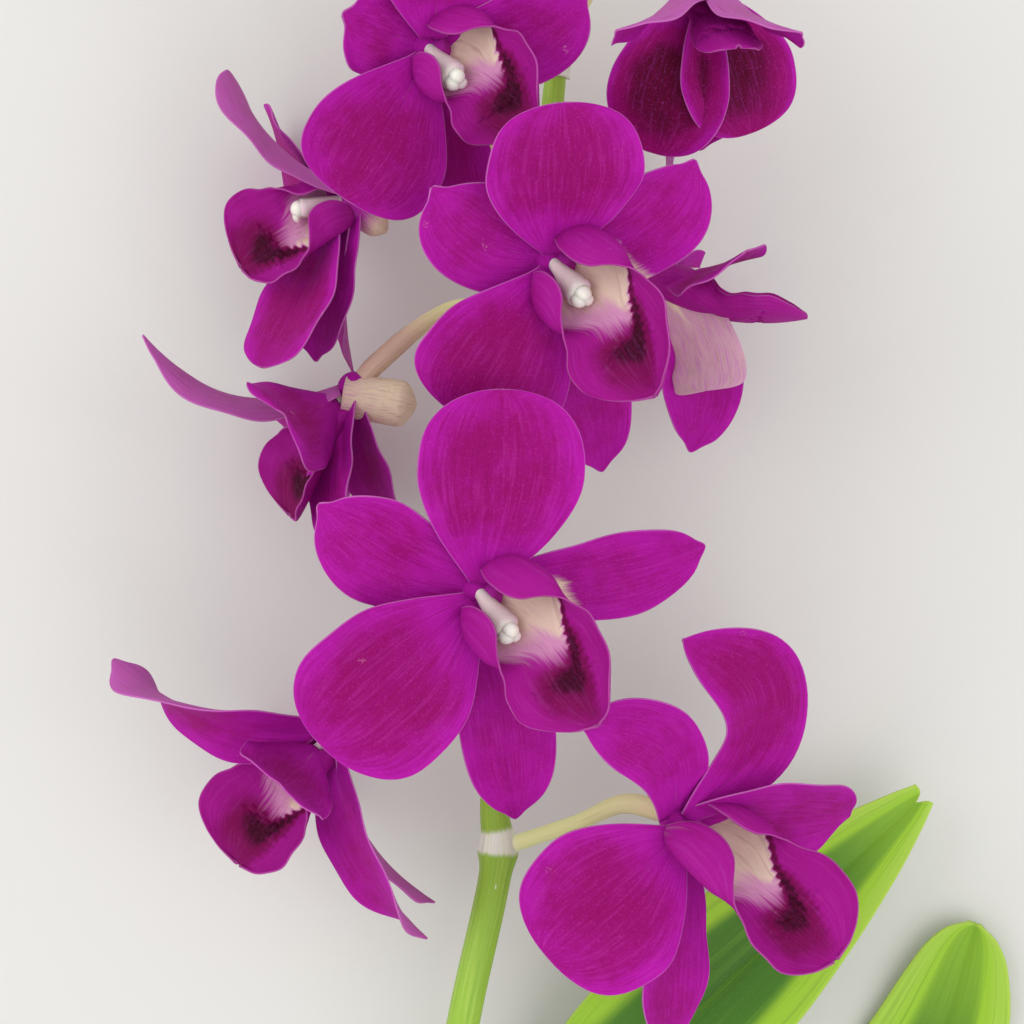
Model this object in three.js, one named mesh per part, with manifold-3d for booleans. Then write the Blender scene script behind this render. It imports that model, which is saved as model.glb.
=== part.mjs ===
import * as THREE from 'three';
import { mergeVertices } from 'three/addons/utils/BufferGeometryUtils.js';
import Module from 'manifold-3d';

// A cut dendrobium stem lying on a flat surface, with its blooms facing up.
// Millimetres, +Z up, +Y toward the tip of the spray.

const petalThick = 0.8;
const lipThick = 0.75;
const leafThick = 1.1;
const leafFoldRoot = 1.3;
const leafFoldTip = 0.22;
const leafFoldShare = 0.35;
const seam = 0.5;
const hubRadius = 3.5;
const rootStart = 1.9;
const chinForm = { long: 8.5, root: 3.0, end: 2.0 };
const chinRound = 0.6;
const lipBow = 0.07;
const lipLift = -3;
const columnWide = 5.0;
const columnRows = 4;
const pedicelRadius = 1.35;
const ovaryRadius = 1.75;
const pedicelEndRadius = 1.6;
const stemRadiusLow = 2.9;
const stemRadiusNode = 2.45;
const stemRadiusTip = 1.1;
const stemNodeAt = -56.7;
const stemNodeHigh = 0.9;
const stemNodeLong = 2.6;
const bractForm = {
  thick: 0.7, long: 4.2, wide: 2.4, narrow: 0.35, low: 6.2, apart: 1.7, flare: 1.6, wrap: 0.7,
};
const budStalkRadius = 1.05;
const budSpurRoot = 0.3;
const budSpurEnd = 0.16;
const caneRadius = 6.2;
const caneGreatest = 6.3;
const caneRound = 0.62;
const sheathHigh = 0.7;
const sheathLong = 0.03;
const sheathsAt = [0.3, 0.58, 0.82];
const bladeRows = 6;
const bladeColumns = 5;
const lipRows = 7;
const lipColumns = 7;
const leafRows = 10;
const leafColumns = 5;
const narrowest = 0.45;
const sliver = 0.2;
const fineSliver = 0.1;

// Middle of the spray's box on the surface, which becomes the origin.
const middle = { x: -6.08, y: -29.56 };

const wasm = await Module();
wasm.setup();

const turn = THREE.MathUtils.degToRad;

// A direction that leans so many degrees from straight up, toward a bearing counted from +X.
function lean(tilt, bearing) {
  const t = turn(tilt);
  const b = turn(bearing);
  return new THREE.Vector3(Math.sin(t) * Math.cos(b), Math.sin(t) * Math.sin(b), Math.cos(t));
}

function at(x, y, z) {
  return new THREE.Vector3(x, y, z);
}

// Every tepal, lip and column states where its tip lies seen from the bloom's middle:
// the bearing (aim), the distance on the surface (reach) and the height (rise).
// bow lifts the middle of the blade to its front, sweep bends it to its left edge,
// roll and twist turn the blade about its midrib at the root and toward the tip.
// lobes narrows a lip's side lobes where a petal folds over them.
const petalForm = {
  wide: 27, cup: 0.3, cupTip: 0.15, bow: 0.08, base: 0.16, widest: 0.6, broad: 1.05, tip: 2.6, point: 2.1,
  lift: 0.9,
};
const sepalForm = {
  wide: 15.5, cup: 0.35, cupTip: 0.4, bow: 0.06, base: 0.42, widest: 0.58, broad: 0.9, tip: 2.3, point: 1.75,
  lift: -1.1,
};
const forms = { petal: petalForm, sepal: sepalForm, dorsal: { ...sepalForm, wide: 17.5 } };

// Blooms are numbered from the foot of the spray to its tip.
const blooms = [
  {
    name: 'bloom_1', at: [27.5, -50.6, 40], face: lean(48, -40), up: lean(90, 135),
    tepals: [
      { form: 'dorsal', aim: 132, reach: 24, rise: 19.3, wide: 14, bow: 0.08, sweep: -0.2 },
      {
        form: 'petal', aim: 91, reach: 30.5, rise: 12, wide: 18, sweep: -0.45, tip: 1.7, point: 1.25,
        widest: 0.5,
      },
      { form: 'petal', aim: -138, reach: 30, rise: 6, wide: 28.5, roll: 36 },
      { form: 'sepal', aim: 0, reach: 28, rise: -14, wide: 19, roll: 10, sweep: 0.07 },
      { form: 'sepal', aim: -92.5, reach: 37, rise: -8, wide: 14, sweep: -0.06 },
    ],
    lip: { aim: -41, reach: 32, rise: 6, size: 0.97, inside: lean(50, 45), twist: 40 },
    column: { aim: -41, reach: 8.6, rise: 3 },
    pedicel: { leaves: -56.7, via: [[11, -51.5, 27], [18.5, -48, 31.5]] },
  },
  {
    name: 'bloom_2', at: [-31, -38.1, 28], face: lean(73, 228), up: lean(90, 140),
    tepals: [
      {
        form: 'dorsal', aim: 158.5, reach: 36, rise: 6, wide: 17, bow: 0.17, roll: 42, twist: -30,
        twistTip: -70,
      },
      { form: 'petal', aim: -140, reach: 8, rise: 20, wide: 18 },
      { form: 'petal', aim: -150, reach: 9, rise: -28, wide: 22 },
      { form: 'sepal', aim: -62.5, reach: 35, rise: 6, wide: 15, bow: 0.14, roll: -30, twistTip: 50 },
      { form: 'sepal', aim: -58, reach: 32, rise: -8, wide: 14, bow: 0.12, roll: 14 },
    ],
    lip: { aim: -125, reach: 24.5, rise: 2, inside: lean(32, 150), size: 1.06, lobes: 0.48 },
    column: { aim: -132, reach: 9, rise: 1 },
    pedicel: { leaves: -26, via: [[-14, -26, 26], [-23, -30.5, 27.5]] },
  },
  {
    name: 'bloom_3', at: [-5.2, -12.7, 50], face: lean(20, -42), up: lean(90, 148),
    tepals: [
      { form: 'dorsal', aim: 151.5, reach: 27.5, rise: 7, wide: 17.5, sweep: 0.04, roll: -10 },
      { form: 'petal', aim: 84, reach: 32, rise: 8, wide: 27, sweep: -0.015 },
      { form: 'petal', aim: -136.5, reach: 34.5, rise: 4, wide: 28 },
      { form: 'sepal', aim: 11, reach: 36, rise: -8, wide: 14, sweep: -0.03 },
      { form: 'sepal', aim: -81, reach: 36.5, rise: -11, wide: 16, sweep: 0.01 },
    ],
    lip: { aim: -47, reach: 27.5, rise: 12, sweep: 0.1, twistTip: 30 },
    column: { aim: -52, reach: 9, rise: 6.5 },
    pedicel: { leaves: -42, via: [[-6, -31, 31], [-7.5, -18, 42]] },
  },
  {
    name: 'bloom_4', at: [-27.7, 19.4, 28], face: lean(96, 219), up: lean(90, 135),
    tepals: [
      { form: 'dorsal', aim: 165, reach: 33.2, rise: 6, wide: 14, bow: 0.19 },
      { form: 'petal', aim: -155, reach: 9.5, rise: 20, wide: 20, cup: 0.7, cupTip: 0.6 },
      { form: 'petal', aim: -130, reach: 12, rise: -28, wide: 24 },
      { form: 'sepal', aim: -92, reach: 25, rise: 5, wide: 14, roll: -50 },
      { form: 'sepal', aim: -69, reach: 23, rise: -4, wide: 13, roll: -40 },
    ],
    lip: { aim: -114, reach: 22, rise: -4, inside: lean(58, 150), lobes: 0.48 },
    column: { aim: 219, reach: 9, rise: 1 },
    pedicel: { leaves: 33, via: [[-9.5, 34, 25.5], [-22.5, 24.5, 28]] },
    chin: { long: 12, root: 3.6, end: 4.0 },
  },
  {
    name: 'bloom_5', at: [23.8, 39.4, 26], face: lean(79, -10), up: lean(90, 75),
    tepals: [
      { form: 'dorsal', aim: 84, reach: 24, rise: -12, wide: 16 },
      { form: 'petal', aim: 11, reach: 14.5, rise: 14, wide: 19, roll: -42 },
      { form: 'petal', aim: -60, reach: 10, rise: -26, wide: 24 },
      {
        form: 'sepal', aim: -67, reach: 21, rise: 5, wide: 14, roll: -65, sweep: -0.1, widest: 0.84, tip: 6,
        point: 4, cup: 0.6,
      },
      { form: 'sepal', aim: -77, reach: 29, rise: -5, wide: 14.5, roll: 60, sweep: 0.14 },
    ],
    lip: { aim: -16, reach: 26, rise: 2, bow: -0.1, lobes: 0.8 },
    column: { aim: -8, reach: 9, rise: 2 },
    pedicel: { leaves: 22, via: [[11, 32, 22], [16.5, 38.5, 24]] },
  },
  {
    name: 'bloom_6', at: [6.5, 39.9, 46], face: lean(24, -42), up: lean(90, 150),
    tepals: [
      { form: 'dorsal', aim: 151, reach: 21, rise: 8, wide: 17, sweep: 0.12 },
      { form: 'petal', aim: 87, reach: 23.6, rise: 14, wide: 26 },
      { form: 'petal', aim: -121, reach: 29, rise: 4, wide: 27, widest: 0.72, broad: 1.25, point: 2.4 },
      { form: 'sepal', aim: 34, reach: 26.5, rise: 4, wide: 16, sweep: -0.14 },
      { form: 'sepal', aim: -76, reach: 33.3, rise: -10, wide: 14.5 },
    ],
    lip: { aim: -54, reach: 27, rise: 12, sweep: 0.1, twistTip: 30 },
    column: { aim: -52, reach: 8.6, rise: 6.5 },
    pedicel: { leaves: 9, via: [[3, 22, 31], [4.5, 34, 40]] },
  },
  {
    name: 'bloom_7', at: [-27.7, 51.7, 28], face: lean(81, 195), up: lean(90, 105),
    tepals: [
      {
        form: 'dorsal', aim: 133, reach: 28.5, rise: 4, wide: 13.5, bow: 0.11, roll: -16, twistTip: -16,
        tip: 3.2, point: 2.4,
      },
      { form: 'petal', aim: 134, reach: 19, rise: -26, wide: 20 },
      { form: 'petal', aim: -115, reach: 31, rise: 7, wide: 18, roll: -40, bow: -0.04 },
      { form: 'sepal', aim: -101, reach: 26, rise: -2, wide: 15, roll: -40 },
      { form: 'sepal', aim: -89, reach: 27, rise: -10, wide: 14 },
    ],
    lip: { aim: -146, reach: 20.5, rise: 0, inside: lean(35, 105), lobes: 0.75 },
    column: { aim: 195, reach: 9, rise: 1 },
    pedicel: { leaves: 62, via: [[-4.5, 61.5, 23.5], [-14, 55, 26]] },
  },
  {
    name: 'bloom_8', at: [-13.5, 74.7, 42], face: lean(24, -42), up: lean(90, 150),
    tepals: [
      { form: 'dorsal', aim: 162, reach: 13, rise: 7, wide: 16, tip: 3.2, point: 2.6, bow: 0.02 },
      { form: 'petal', aim: 82, reach: 26, rise: 14, wide: 24 },
      { form: 'petal', aim: -119, reach: 28, rise: 4, wide: 25, widest: 0.7, broad: 1.2, point: 2.3 },
      { form: 'sepal', aim: 17, reach: 25.6, rise: 4, wide: 16, sweep: -0.12 },
      { form: 'sepal', aim: -78, reach: 29, rise: -14, wide: 13 },
    ],
    lip: { aim: -40, reach: 22, rise: 10, size: 0.92, sweep: 0.1, twistTip: 30 },
    column: { aim: -52, reach: 8.6, rise: 6.5 },
    pedicel: { leaves: 46, via: [[-1, 60, 31], [-9.5, 71, 36]] },
  },
  {
    name: 'bloom_9', at: [31, 87.4, 36], face: lean(66, -88), up: lean(156, -90),
    tepals: [
      { form: 'dorsal', aim: -89, reach: 26, rise: -12, wide: 16 },
      { form: 'petal', aim: -105, reach: 29.5, rise: -4, wide: 20, roll: 38 },
      { form: 'petal', aim: -72, reach: 26.5, rise: -4, wide: 20, roll: -38 },
      { form: 'sepal', aim: -138, reach: 19, rise: 24, wide: 14 },
      { form: 'sepal', aim: -45, reach: 18.5, rise: 24, wide: 14 },
    ],
    lip: { aim: -74, reach: 15.5, rise: 22, size: 0.52 },
    column: { aim: -89, reach: 9, rise: 4 },
    pedicel: { leaves: 79, via: [[17, 92, 27], [26, 97, 33]] },
  },
];

// The flower stem's middle line, from the cane to the tip of the spray.
const stemLine = new THREE.CatmullRomCurve3([
  at(-18.6, -142, 11), at(-15.4, -126, 14.5), at(-8, -85, 20), at(-2.3, -56.7, 22), at(-2.9, -50, 22.4),
  at(0, -14, 22.5), at(4.2, 36, 22.5), at(7.2, 72, 22), at(10.5, 100, 22), at(15, 124, 23),
]);

const caneLine = new THREE.CatmullRomCurve3([
  at(-29.5, -191, 6.4), at(-25, -172, 6.4), at(-19.5, -146, 6.5), at(-14.5, -127, 7), at(-12, -119, 7.5),
]);

const buds = [
  { name: 'bud_1', leaves: 93, long: 15, wide: 8.5, tip: [24, 114, 29] },
  { name: 'bud_2', leaves: 102, long: 13.5, wide: 7.6, tip: [-7, 119, 27] },
  { name: 'bud_3', leaves: 110, long: 11.5, wide: 6.4, tip: [24, 130, 25] },
  { name: 'bud_4', leaves: 117, long: 9.5, wide: 5.2, tip: [4, 133, 24] },
];

// Half width of a leaf along it, over the greatest half width: a notched tip or a rounded one.
const leafNotched = [
  [0, 0.26], [0.06, 0.3], [0.22, 0.78], [0.42, 1], [0.6, 0.92], [0.75, 0.72], [0.88, 0.47],
  [0.96, 0.27], [1, 0.15],
];
const leafRounded = [
  [0, 0.26], [0.06, 0.3], [0.22, 0.78], [0.42, 1], [0.6, 0.98], [0.75, 0.91], [0.87, 0.77],
  [0.95, 0.54], [0.985, 0.32], [1, 0.08],
];
const leaves = [
  {
    name: 'leaf_1', wide: 30, outline: leafNotched, notch: 1.6,
    line: [[-7, -121.6, 9], [9, -107, 12.5], [36, -80, 14], [70.5, -48.2, 12.5]],
  },
  {
    name: 'leaf_2', wide: 29, outline: leafRounded, notch: 0,
    line: [[-12.8, -150, 6.2], [22, -140, 3.2], [54, -119, 0.2], [72.5, -96, 0.8], [80.5, -71.5, 4]],
  },
  {
    name: 'leaf_3', wide: 28, outline: leafRounded, notch: 0,
    line: [[-28.5, -152, 6.6], [-48, -141, 4.2], [-74, -125, 0.2], [-98, -106, 3.5]],
  },
];

// Smooth curve through (place, value) pairs, with the slope at each place taken from its neighbours.
function curveValue(pairs, t) {
  const last = pairs.length - 1;
  const slope = (k) => {
    const a = pairs[Math.max(k - 1, 0)];
    const b = pairs[Math.min(k + 1, last)];
    return (b[1] - a[1]) / (b[0] - a[0]);
  };
  let k = 0;
  while (k < last - 1 && t > pairs[k + 1][0]) k += 1;
  const span = pairs[k + 1][0] - pairs[k][0];
  const u = (t - pairs[k][0]) / span;
  return (2 * u ** 3 - 3 * u ** 2 + 1) * pairs[k][1] + (u ** 3 - 2 * u ** 2 + u) * span * slope(k)
    + (-2 * u ** 3 + 3 * u ** 2) * pairs[k + 1][1] + (u ** 3 - u ** 2) * span * slope(k + 1);
}

// Half width over the greatest half width: a sine rise to the widest place, then a rounded end.
function widthShare(t, q) {
  if (t < q.widest) {
    return q.base + (1 - q.base) * Math.sin((Math.PI / 2) * (t / q.widest)) ** q.broad;
  }
  return Math.max(1 - ((t - q.widest) / (1 - q.widest)) ** q.tip, 0) ** (1 / q.point);
}

// Midrib of a tepal, lip or column as a cubic curve from the hub to its tip, with the
// directions to its left edge (side) and its front at each place.
function midrib(q, front, start) {
  const aim = turn(q.aim);
  const tip = at(q.reach * Math.cos(aim), q.reach * Math.sin(aim), q.rise);
  const root = tip.clone().setLength(start).addScaledVector(front, q.lift ?? 0);
  const chord = tip.clone().sub(root);
  const long = chord.length();
  const along = chord.clone().normalize();
  const toFront = front.clone().addScaledVector(along, -front.dot(along)).normalize();
  const toSide = toFront.clone().cross(along);
  toFront.applyAxisAngle(along, turn(q.roll ?? 0));
  toSide.applyAxisAngle(along, turn(q.roll ?? 0));
  const lift = toFront.clone().multiplyScalar((q.bow ?? 0) * long * 4 / 3);
  lift.addScaledVector(toSide, (q.sweep ?? 0) * long * 4 / 3);
  const curve = new THREE.CubicBezierCurve3(
    root,
    root.clone().addScaledVector(chord, 1 / 3).add(lift),
    root.clone().addScaledVector(chord, 2 / 3).add(lift),
    tip,
  );
  return (t) => {
    const point = curve.getPointAt(t);
    const tangent = curve.getTangentAt(t);
    const side = toFront.clone().cross(tangent).normalize();
    const twist = turn((q.twist ?? 0) * t + (q.twistTip ?? 0) * t ** 3);
    side.applyAxisAngle(tangent, twist);
    return { point, side, front: tangent.clone().cross(side) };
  };
}

// Grid of points on a blade: rows along the midrib, closer together near the tip.
// sectionAt(t) gives, for v from -1 at one edge to 1 at the other, the steps to the side and to the front.
function bladeGrid(place, rows, columns, spread, sectionAt) {
  return Array.from({ length: rows }, (_, i) => {
    const t = 1 - (1 - i / (rows - 1)) ** spread;
    const { point, side, front } = place(t);
    const section = sectionAt(t);
    return Array.from({ length: columns }, (__, j) => {
      const [sideways, forward] = section((2 * j) / (columns - 1) - 1);
      return point.clone().addScaledVector(side, sideways).addScaledVector(front, forward);
    });
  });
}

// Section of a tepal or leaf: an arc of the given half width that bends so many radians to each side.
function arcSection(half, bend) {
  return (v) => [(half * Math.sin(bend * v)) / bend, (half * (1 - Math.cos(bend * v))) / bend];
}

function solidFrom(points, faces) {
  const vertProperties = new Float32Array(points.flatMap((p) => [p.x, p.y, p.z]));
  const triVerts = new Uint32Array(faces.flat());
  return new wasm.Manifold(new wasm.Mesh({ numProp: 3, vertProperties, triVerts }));
}

// Closed sheet of even thickness round a grid: a front, a back split alike, and a rim.
function sheet(grid, thick) {
  const rows = grid.length;
  const columns = grid[0].length;
  const normal = (i, j) => {
    const down = grid[Math.min(i + 1, rows - 1)][j].clone().sub(grid[Math.max(i - 1, 0)][j]);
    const across = grid[i][Math.min(j + 1, columns - 1)].clone().sub(grid[i][Math.max(j - 1, 0)]);
    return down.cross(across).normalize();
  };
  const front = [];
  const back = [];
  grid.forEach((row, i) => row.forEach((p, j) => {
    const out = normal(i, j).multiplyScalar(thick / 2);
    front.push(p.clone().add(out));
    back.push(p.clone().sub(out));
  }));
  const f = (i, j) => i * columns + j;
  const b = (i, j) => rows * columns + i * columns + j;
  const faces = [];
  const rim = (p, q, r, s) => faces.push([p, q, r], [p, r, s]);
  for (let i = 0; i < rows - 1; i += 1) {
    for (let j = 0; j < columns - 1; j += 1) {
      faces.push([f(i, j), f(i + 1, j), f(i + 1, j + 1)], [f(i, j), f(i + 1, j + 1), f(i, j + 1)]);
      faces.push([b(i, j), b(i + 1, j + 1), b(i + 1, j)], [b(i, j), b(i, j + 1), b(i + 1, j + 1)]);
    }
    rim(f(i + 1, 0), f(i, 0), b(i, 0), b(i + 1, 0));
    rim(f(i, columns - 1), f(i + 1, columns - 1), b(i + 1, columns - 1), b(i, columns - 1));
  }
  for (let j = 0; j < columns - 1; j += 1) {
    rim(f(0, j), f(0, j + 1), b(0, j + 1), b(0, j));
    rim(f(rows - 1, j + 1), f(rows - 1, j), b(rows - 1, j), b(rows - 1, j + 1));
  }
  return solidFrom([...front, ...back], faces);
}

// Closed round rod along a curve, with its radius a function of the share along it.
function rod(curve, radiusAt, steps, sides) {
  const { normals, binormals } = curve.computeFrenetFrames(steps, false);
  const points = [];
  for (let i = 0; i <= steps; i += 1) {
    const middleAt = curve.getPointAt(i / steps);
    const radius = radiusAt(i / steps);
    for (let k = 0; k < sides; k += 1) {
      const angle = (2 * Math.PI * k) / sides;
      points.push(middleAt.clone()
        .addScaledVector(normals[i], radius * Math.cos(angle))
        .addScaledVector(binormals[i], radius * Math.sin(angle)));
    }
  }
  const head = points.push(curve.getPointAt(0)) - 1;
  const foot = points.push(curve.getPointAt(1)) - 1;
  const ring = (i, k) => i * sides + (k % sides);
  const faces = [];
  for (let k = 0; k < sides; k += 1) {
    for (let i = 0; i < steps; i += 1) {
      faces.push([ring(i, k), ring(i, k + 1), ring(i + 1, k + 1)]);
      faces.push([ring(i, k), ring(i + 1, k + 1), ring(i + 1, k)]);
    }
    faces.push([head, ring(0, k + 1), ring(0, k)]);
    faces.push([foot, ring(steps, k), ring(steps, k + 1)]);
  }
  return solidFrom(points, faces);
}

// Faceted hub that the blades' roots are sunk into.
function hub(radius) {
  const geometry = new THREE.IcosahedronGeometry(radius, 0);
  geometry.deleteAttribute('normal');
  geometry.deleteAttribute('uv');
  const merged = mergeVertices(geometry);
  const position = merged.getAttribute('position');
  const corner = (_, i) => at(0, 0, 0).fromBufferAttribute(position, i);
  const points = Array.from({ length: position.count }, corner);
  const index = Array.from(merged.index.array);
  const faces = Array.from({ length: index.length / 3 }, (_, i) => index.slice(3 * i, 3 * i + 3));
  return solidFrom(points, faces);
}

// Largest body of a solid, without the slivers that a cut leaves along its edges.
function oneBody(solid, tolerance = sliver) {
  return solid.simplify(tolerance).decompose().sort((p, q) => q.volume() - p.volume())[0];
}

// What is left of a solid as one body after its neighbours, grown by the seam, are cut away.
function cutClear(solid, neighbours) {
  const cut = neighbours.reduce((rest, other) => rest.subtract(other), solid);
  return oneBody(cut, fineSliver);
}

function tepal(row, face, grow) {
  const q = { ...forms[row.form], ...row };
  const place = midrib(q, face, rootStart - grow);
  const sectionAt = (t) => arcSection(
    Math.max((q.wide / 2) * widthShare(t, q), narrowest) + grow,
    THREE.MathUtils.lerp(q.cup, q.cupTip, t),
  );
  return sheet(bladeGrid(place, bladeRows, bladeColumns, 1.6, sectionAt), petalThick + 2 * grow);
}

// The chin under the lip, where the lateral sepals join the foot of the column.
function chin(bloom, grow) {
  const form = bloom.chin ?? chinForm;
  const back = bloom.face.clone().multiplyScalar(-0.62).addScaledVector(bloom.up, -0.78).normalize();
  const curve = new THREE.LineCurve3(at(0, 0, 0), back.clone().multiplyScalar(form.long + grow));
  const radiusAt = (t) => {
    const past = Math.max(t - chinRound, 0) / (1 - chinRound);
    return THREE.MathUtils.lerp(form.root, form.end, t) * Math.sqrt(1 - 0.88 * past ** 2) + grow;
  };
  return rod(curve, radiusAt, 2, 6);
}

// Three sepals and two petals, grown together round the hub, with the chin.
function perianth(bloom, grow) {
  const parts = bloom.tepals.map((row) => tepal(row, bloom.face, grow));
  parts.push(hub(hubRadius + 1.6 * grow), chin(bloom, grow));
  return wasm.Manifold.union(parts);
}

// The lip along its midrib, from the hub over two side lobes and a waist to the mid-lobe:
// half its width, how high its edges stand, and how far they curl round, in degrees.
const lipWide = [
  [0, 3.2], [0.07, 6.0], [0.18, 7.8], [0.34, 8.4], [0.45, 7.6], [0.52, 8.4], [0.62, 9.8], [0.73, 10.2],
  [0.83, 9.4], [0.92, 7.0], [0.975, 4], [1, 0.6],
];
const lipHigh = [
  [0, 3.5], [0.08, 6.5], [0.22, 8.0], [0.38, 7.2], [0.46, 5.0], [0.53, 4.2], [0.64, 4.6], [0.8, 4.4],
  [0.92, 2.8], [1, 0.8],
];
const lipCurl = [
  [0, 120], [0.08, 150], [0.2, 165], [0.36, 158], [0.44, 120], [0.5, 84], [0.62, 64], [0.8, 56], [1, 40],
];

function lip(bloom) {
  const q = { bow: lipBow, lift: lipLift, size: 1, lobes: 1, ...bloom.lip };
  const inside = q.inside ?? bloom.face.clone().addScaledVector(bloom.up, 0.9).normalize();
  const place = midrib(q, inside, 0);
  const sectionAt = (t) => {
    const scale = q.size * THREE.MathUtils.lerp(q.lobes, 1, THREE.MathUtils.smoothstep(t, 0.3, 0.52));
    const curl = turn(curveValue(lipCurl, t));
    const half = Math.max(curveValue(lipWide, t) * scale, narrowest);
    const sideways = half / Math.sin(Math.min(curl, Math.PI / 2));
    const forward = (curveValue(lipHigh, t) * scale) / (1 - Math.cos(curl));
    return (v) => [sideways * Math.sin(curl * v), forward * (1 - Math.cos(curl * v))];
  };
  return sheet(bladeGrid(place, lipRows, lipColumns, 1.3, sectionAt), lipThick);
}

function column(bloom, grow) {
  const q = bloom.column;
  const inside = bloom.up.clone().addScaledVector(bloom.face, 0.2).normalize();
  const place = midrib(q, inside, 0);
  const foot = place(0).point;
  const cap = place(1).point;
  cap.addScaledVector(cap.clone().sub(foot).normalize(), grow);
  const curve = new THREE.LineCurve3(foot, cap);
  const radiusAt = (t) => (columnWide / 2) * (0.75 + 0.25 * t) * (t < 0.99 ? 1 : 0.55) + grow;
  return rod(curve, radiusAt, columnRows, 7);
}

function pedicel(bloom) {
  const centre = at(...bloom.at);
  const foot = stemPoint(bloom.pedicel.leaves);
  const points = [foot, ...bloom.pedicel.via.map((p) => at(...p))];
  points.push(centre.clone().addScaledVector(bloom.face, -hubRadius + 0.6));
  const radii = [[0, pedicelRadius], [0.5, pedicelRadius], [0.8, ovaryRadius], [1, pedicelEndRadius]];
  const radiusAt = (t) => curveValue(radii, t);
  return rod(new THREE.CatmullRomCurve3(points), radiusAt, 6, 6);
}

function stemShare(y) {
  let low = 0;
  let high = 1;
  for (let k = 0; k < 30; k += 1) {
    const mid = (low + high) / 2;
    if (stemLine.getPointAt(mid).y < y) low = mid;
    else high = mid;
  }
  return low;
}

function stemPoint(y) {
  return stemLine.getPointAt(stemShare(y));
}

// Small pointed scale on the stem under a pedicel, pointing to the tip of the spray.
function bract(leavesAt, toward) {
  const form = bractForm;
  const foot = stemPoint(leavesAt - form.low);
  const along = stemLine.getTangentAt(stemShare(leavesAt));
  const out = toward.clone().sub(foot);
  out.addScaledVector(along, -out.dot(along)).normalize();
  const side = along.clone().cross(out);
  const grid = [0, 0.55, 1].map((t) => [-1, 0, 1].map((v) => foot.clone()
    .addScaledVector(along, form.long * t)
    .addScaledVector(out, form.apart + form.flare * t * t - form.wrap * v * v)
    .addScaledVector(side, v * Math.max(form.wide * (1 - t * t), form.narrow))));
  return sheet(grid, form.thick);
}

function pedicelStarts() {
  const fromBlooms = blooms.map((b) => [b.pedicel.leaves, at(...b.pedicel.via[0])]);
  const fromBuds = buds.map((b) => [b.leaves, at(...b.tip)]);
  return [...fromBlooms, ...fromBuds];
}

// Flower stem, tapered, with its swollen node.
function stemRod(grow) {
  const node = stemShare(stemNodeAt);
  const radiusAt = (t) => {
    const taper = t < node
      ? THREE.MathUtils.lerp(stemRadiusLow, stemRadiusNode + 0.25, t / node)
      : THREE.MathUtils.lerp(stemRadiusNode, stemRadiusTip, ((t - node) / (1 - node)) ** 2.2);
    const fromNode = (t - node) * stemLine.getLength();
    const swell = stemNodeHigh * Math.exp(-((fromNode / stemNodeLong) ** 2));
    return taper + swell + grow;
  };
  return rod(stemLine, radiusAt, 26, 8);
}

function stem() {
  const bracts = pedicelStarts().map(([y, toward]) => bract(y, toward));
  return wasm.Manifold.union([stemRod(0), ...bracts]);
}

// Top of the cane: fleshy, with a raised sheath edge at each node, cut square at its foot.
function cane(grow) {
  const ridge = (t, where) => sheathHigh * Math.exp(-(((t - where) / sheathLong) ** 2));
  const radiusAt = (t) => {
    const past = Math.max(t - caneRound, 0) / (1.06 - caneRound);
    const body = caneRadius * Math.sqrt(Math.max(1 - past ** 2.4, 0.05));
    const sheathed = sheathsAt.reduce((sum, where) => sum + ridge(t, where), body);
    return Math.min(sheathed, caneGreatest) + grow;
  };
  return rod(caneLine, radiusAt, 15, 10);
}

// Bud: a short stalk, a closed egg of sepals and the spur of its chin.
function bud(row) {
  const foot = stemPoint(row.leaves);
  const tip = at(...row.tip);
  const way = tip.clone().sub(foot).normalize();
  const neck = tip.clone().addScaledVector(way, -row.long);
  const inside = neck.clone().addScaledVector(way, 2);
  const stalk = new THREE.CatmullRomCurve3([foot, foot.clone().lerp(neck, 0.5), inside]);
  const body = new THREE.LineCurve3(neck, tip);
  const egg = (t) => Math.max((row.wide / 2) * Math.sin(Math.PI * Math.min(t, 1) ** 0.75) ** 0.6, 0.5);
  const spur = new THREE.LineCurve3(
    neck.clone().addScaledVector(way, row.long * 0.25),
    neck.clone().addScaledVector(way, -0.5).add(at(0, 0, -row.wide * 0.42)),
  );
  const spurRadius = (t) => row.wide * THREE.MathUtils.lerp(budSpurRoot, budSpurEnd, t);
  return wasm.Manifold.union([
    rod(stalk, () => budStalkRadius, 3, 5), rod(body, egg, 6, 7), rod(spur, spurRadius, 2, 5),
  ]);
}

// Strap leaf with a folded base. Where it dips to the surface, its underside lies flat on it.
function leaf(row) {
  const curve = new THREE.CatmullRomCurve3(row.line.map((p) => at(...p)));
  const place = (t) => {
    const tangent = curve.getTangentAt(t);
    const side = at(0, 0, 1).cross(tangent).normalize();
    return { point: curve.getPointAt(t), side, front: tangent.clone().cross(side) };
  };
  const sectionAt = (t) => arcSection(
    (row.wide / 2) * curveValue(row.outline, t),
    THREE.MathUtils.lerp(leafFoldRoot, leafFoldTip, Math.min(t / leafFoldShare, 1) ** 0.6),
  );
  const grid = bladeGrid(place, leafRows, leafColumns, 1.15, sectionAt);
  const middleColumn = (leafColumns - 1) / 2;
  grid[leafRows - 1][middleColumn].addScaledVector(curve.getTangentAt(1), -row.notch);
  return sheet(grid, leafThick).trimByPlane([0, 0, 1], 0);
}

function meshFrom(name, solid, material) {
  const found = solid.getMesh();
  const geometry = new THREE.BufferGeometry();
  geometry.setAttribute('position', new THREE.BufferAttribute(new Float32Array(found.vertProperties), 3));
  geometry.setIndex(new THREE.BufferAttribute(new Uint32Array(found.triVerts), 1));
  const mesh = new THREE.Mesh(geometry, material);
  mesh.name = name;
  return mesh;
}

function finish(color, roughness) {
  return new THREE.MeshStandardMaterial({ color, roughness, metalness: 0 });
}

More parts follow.
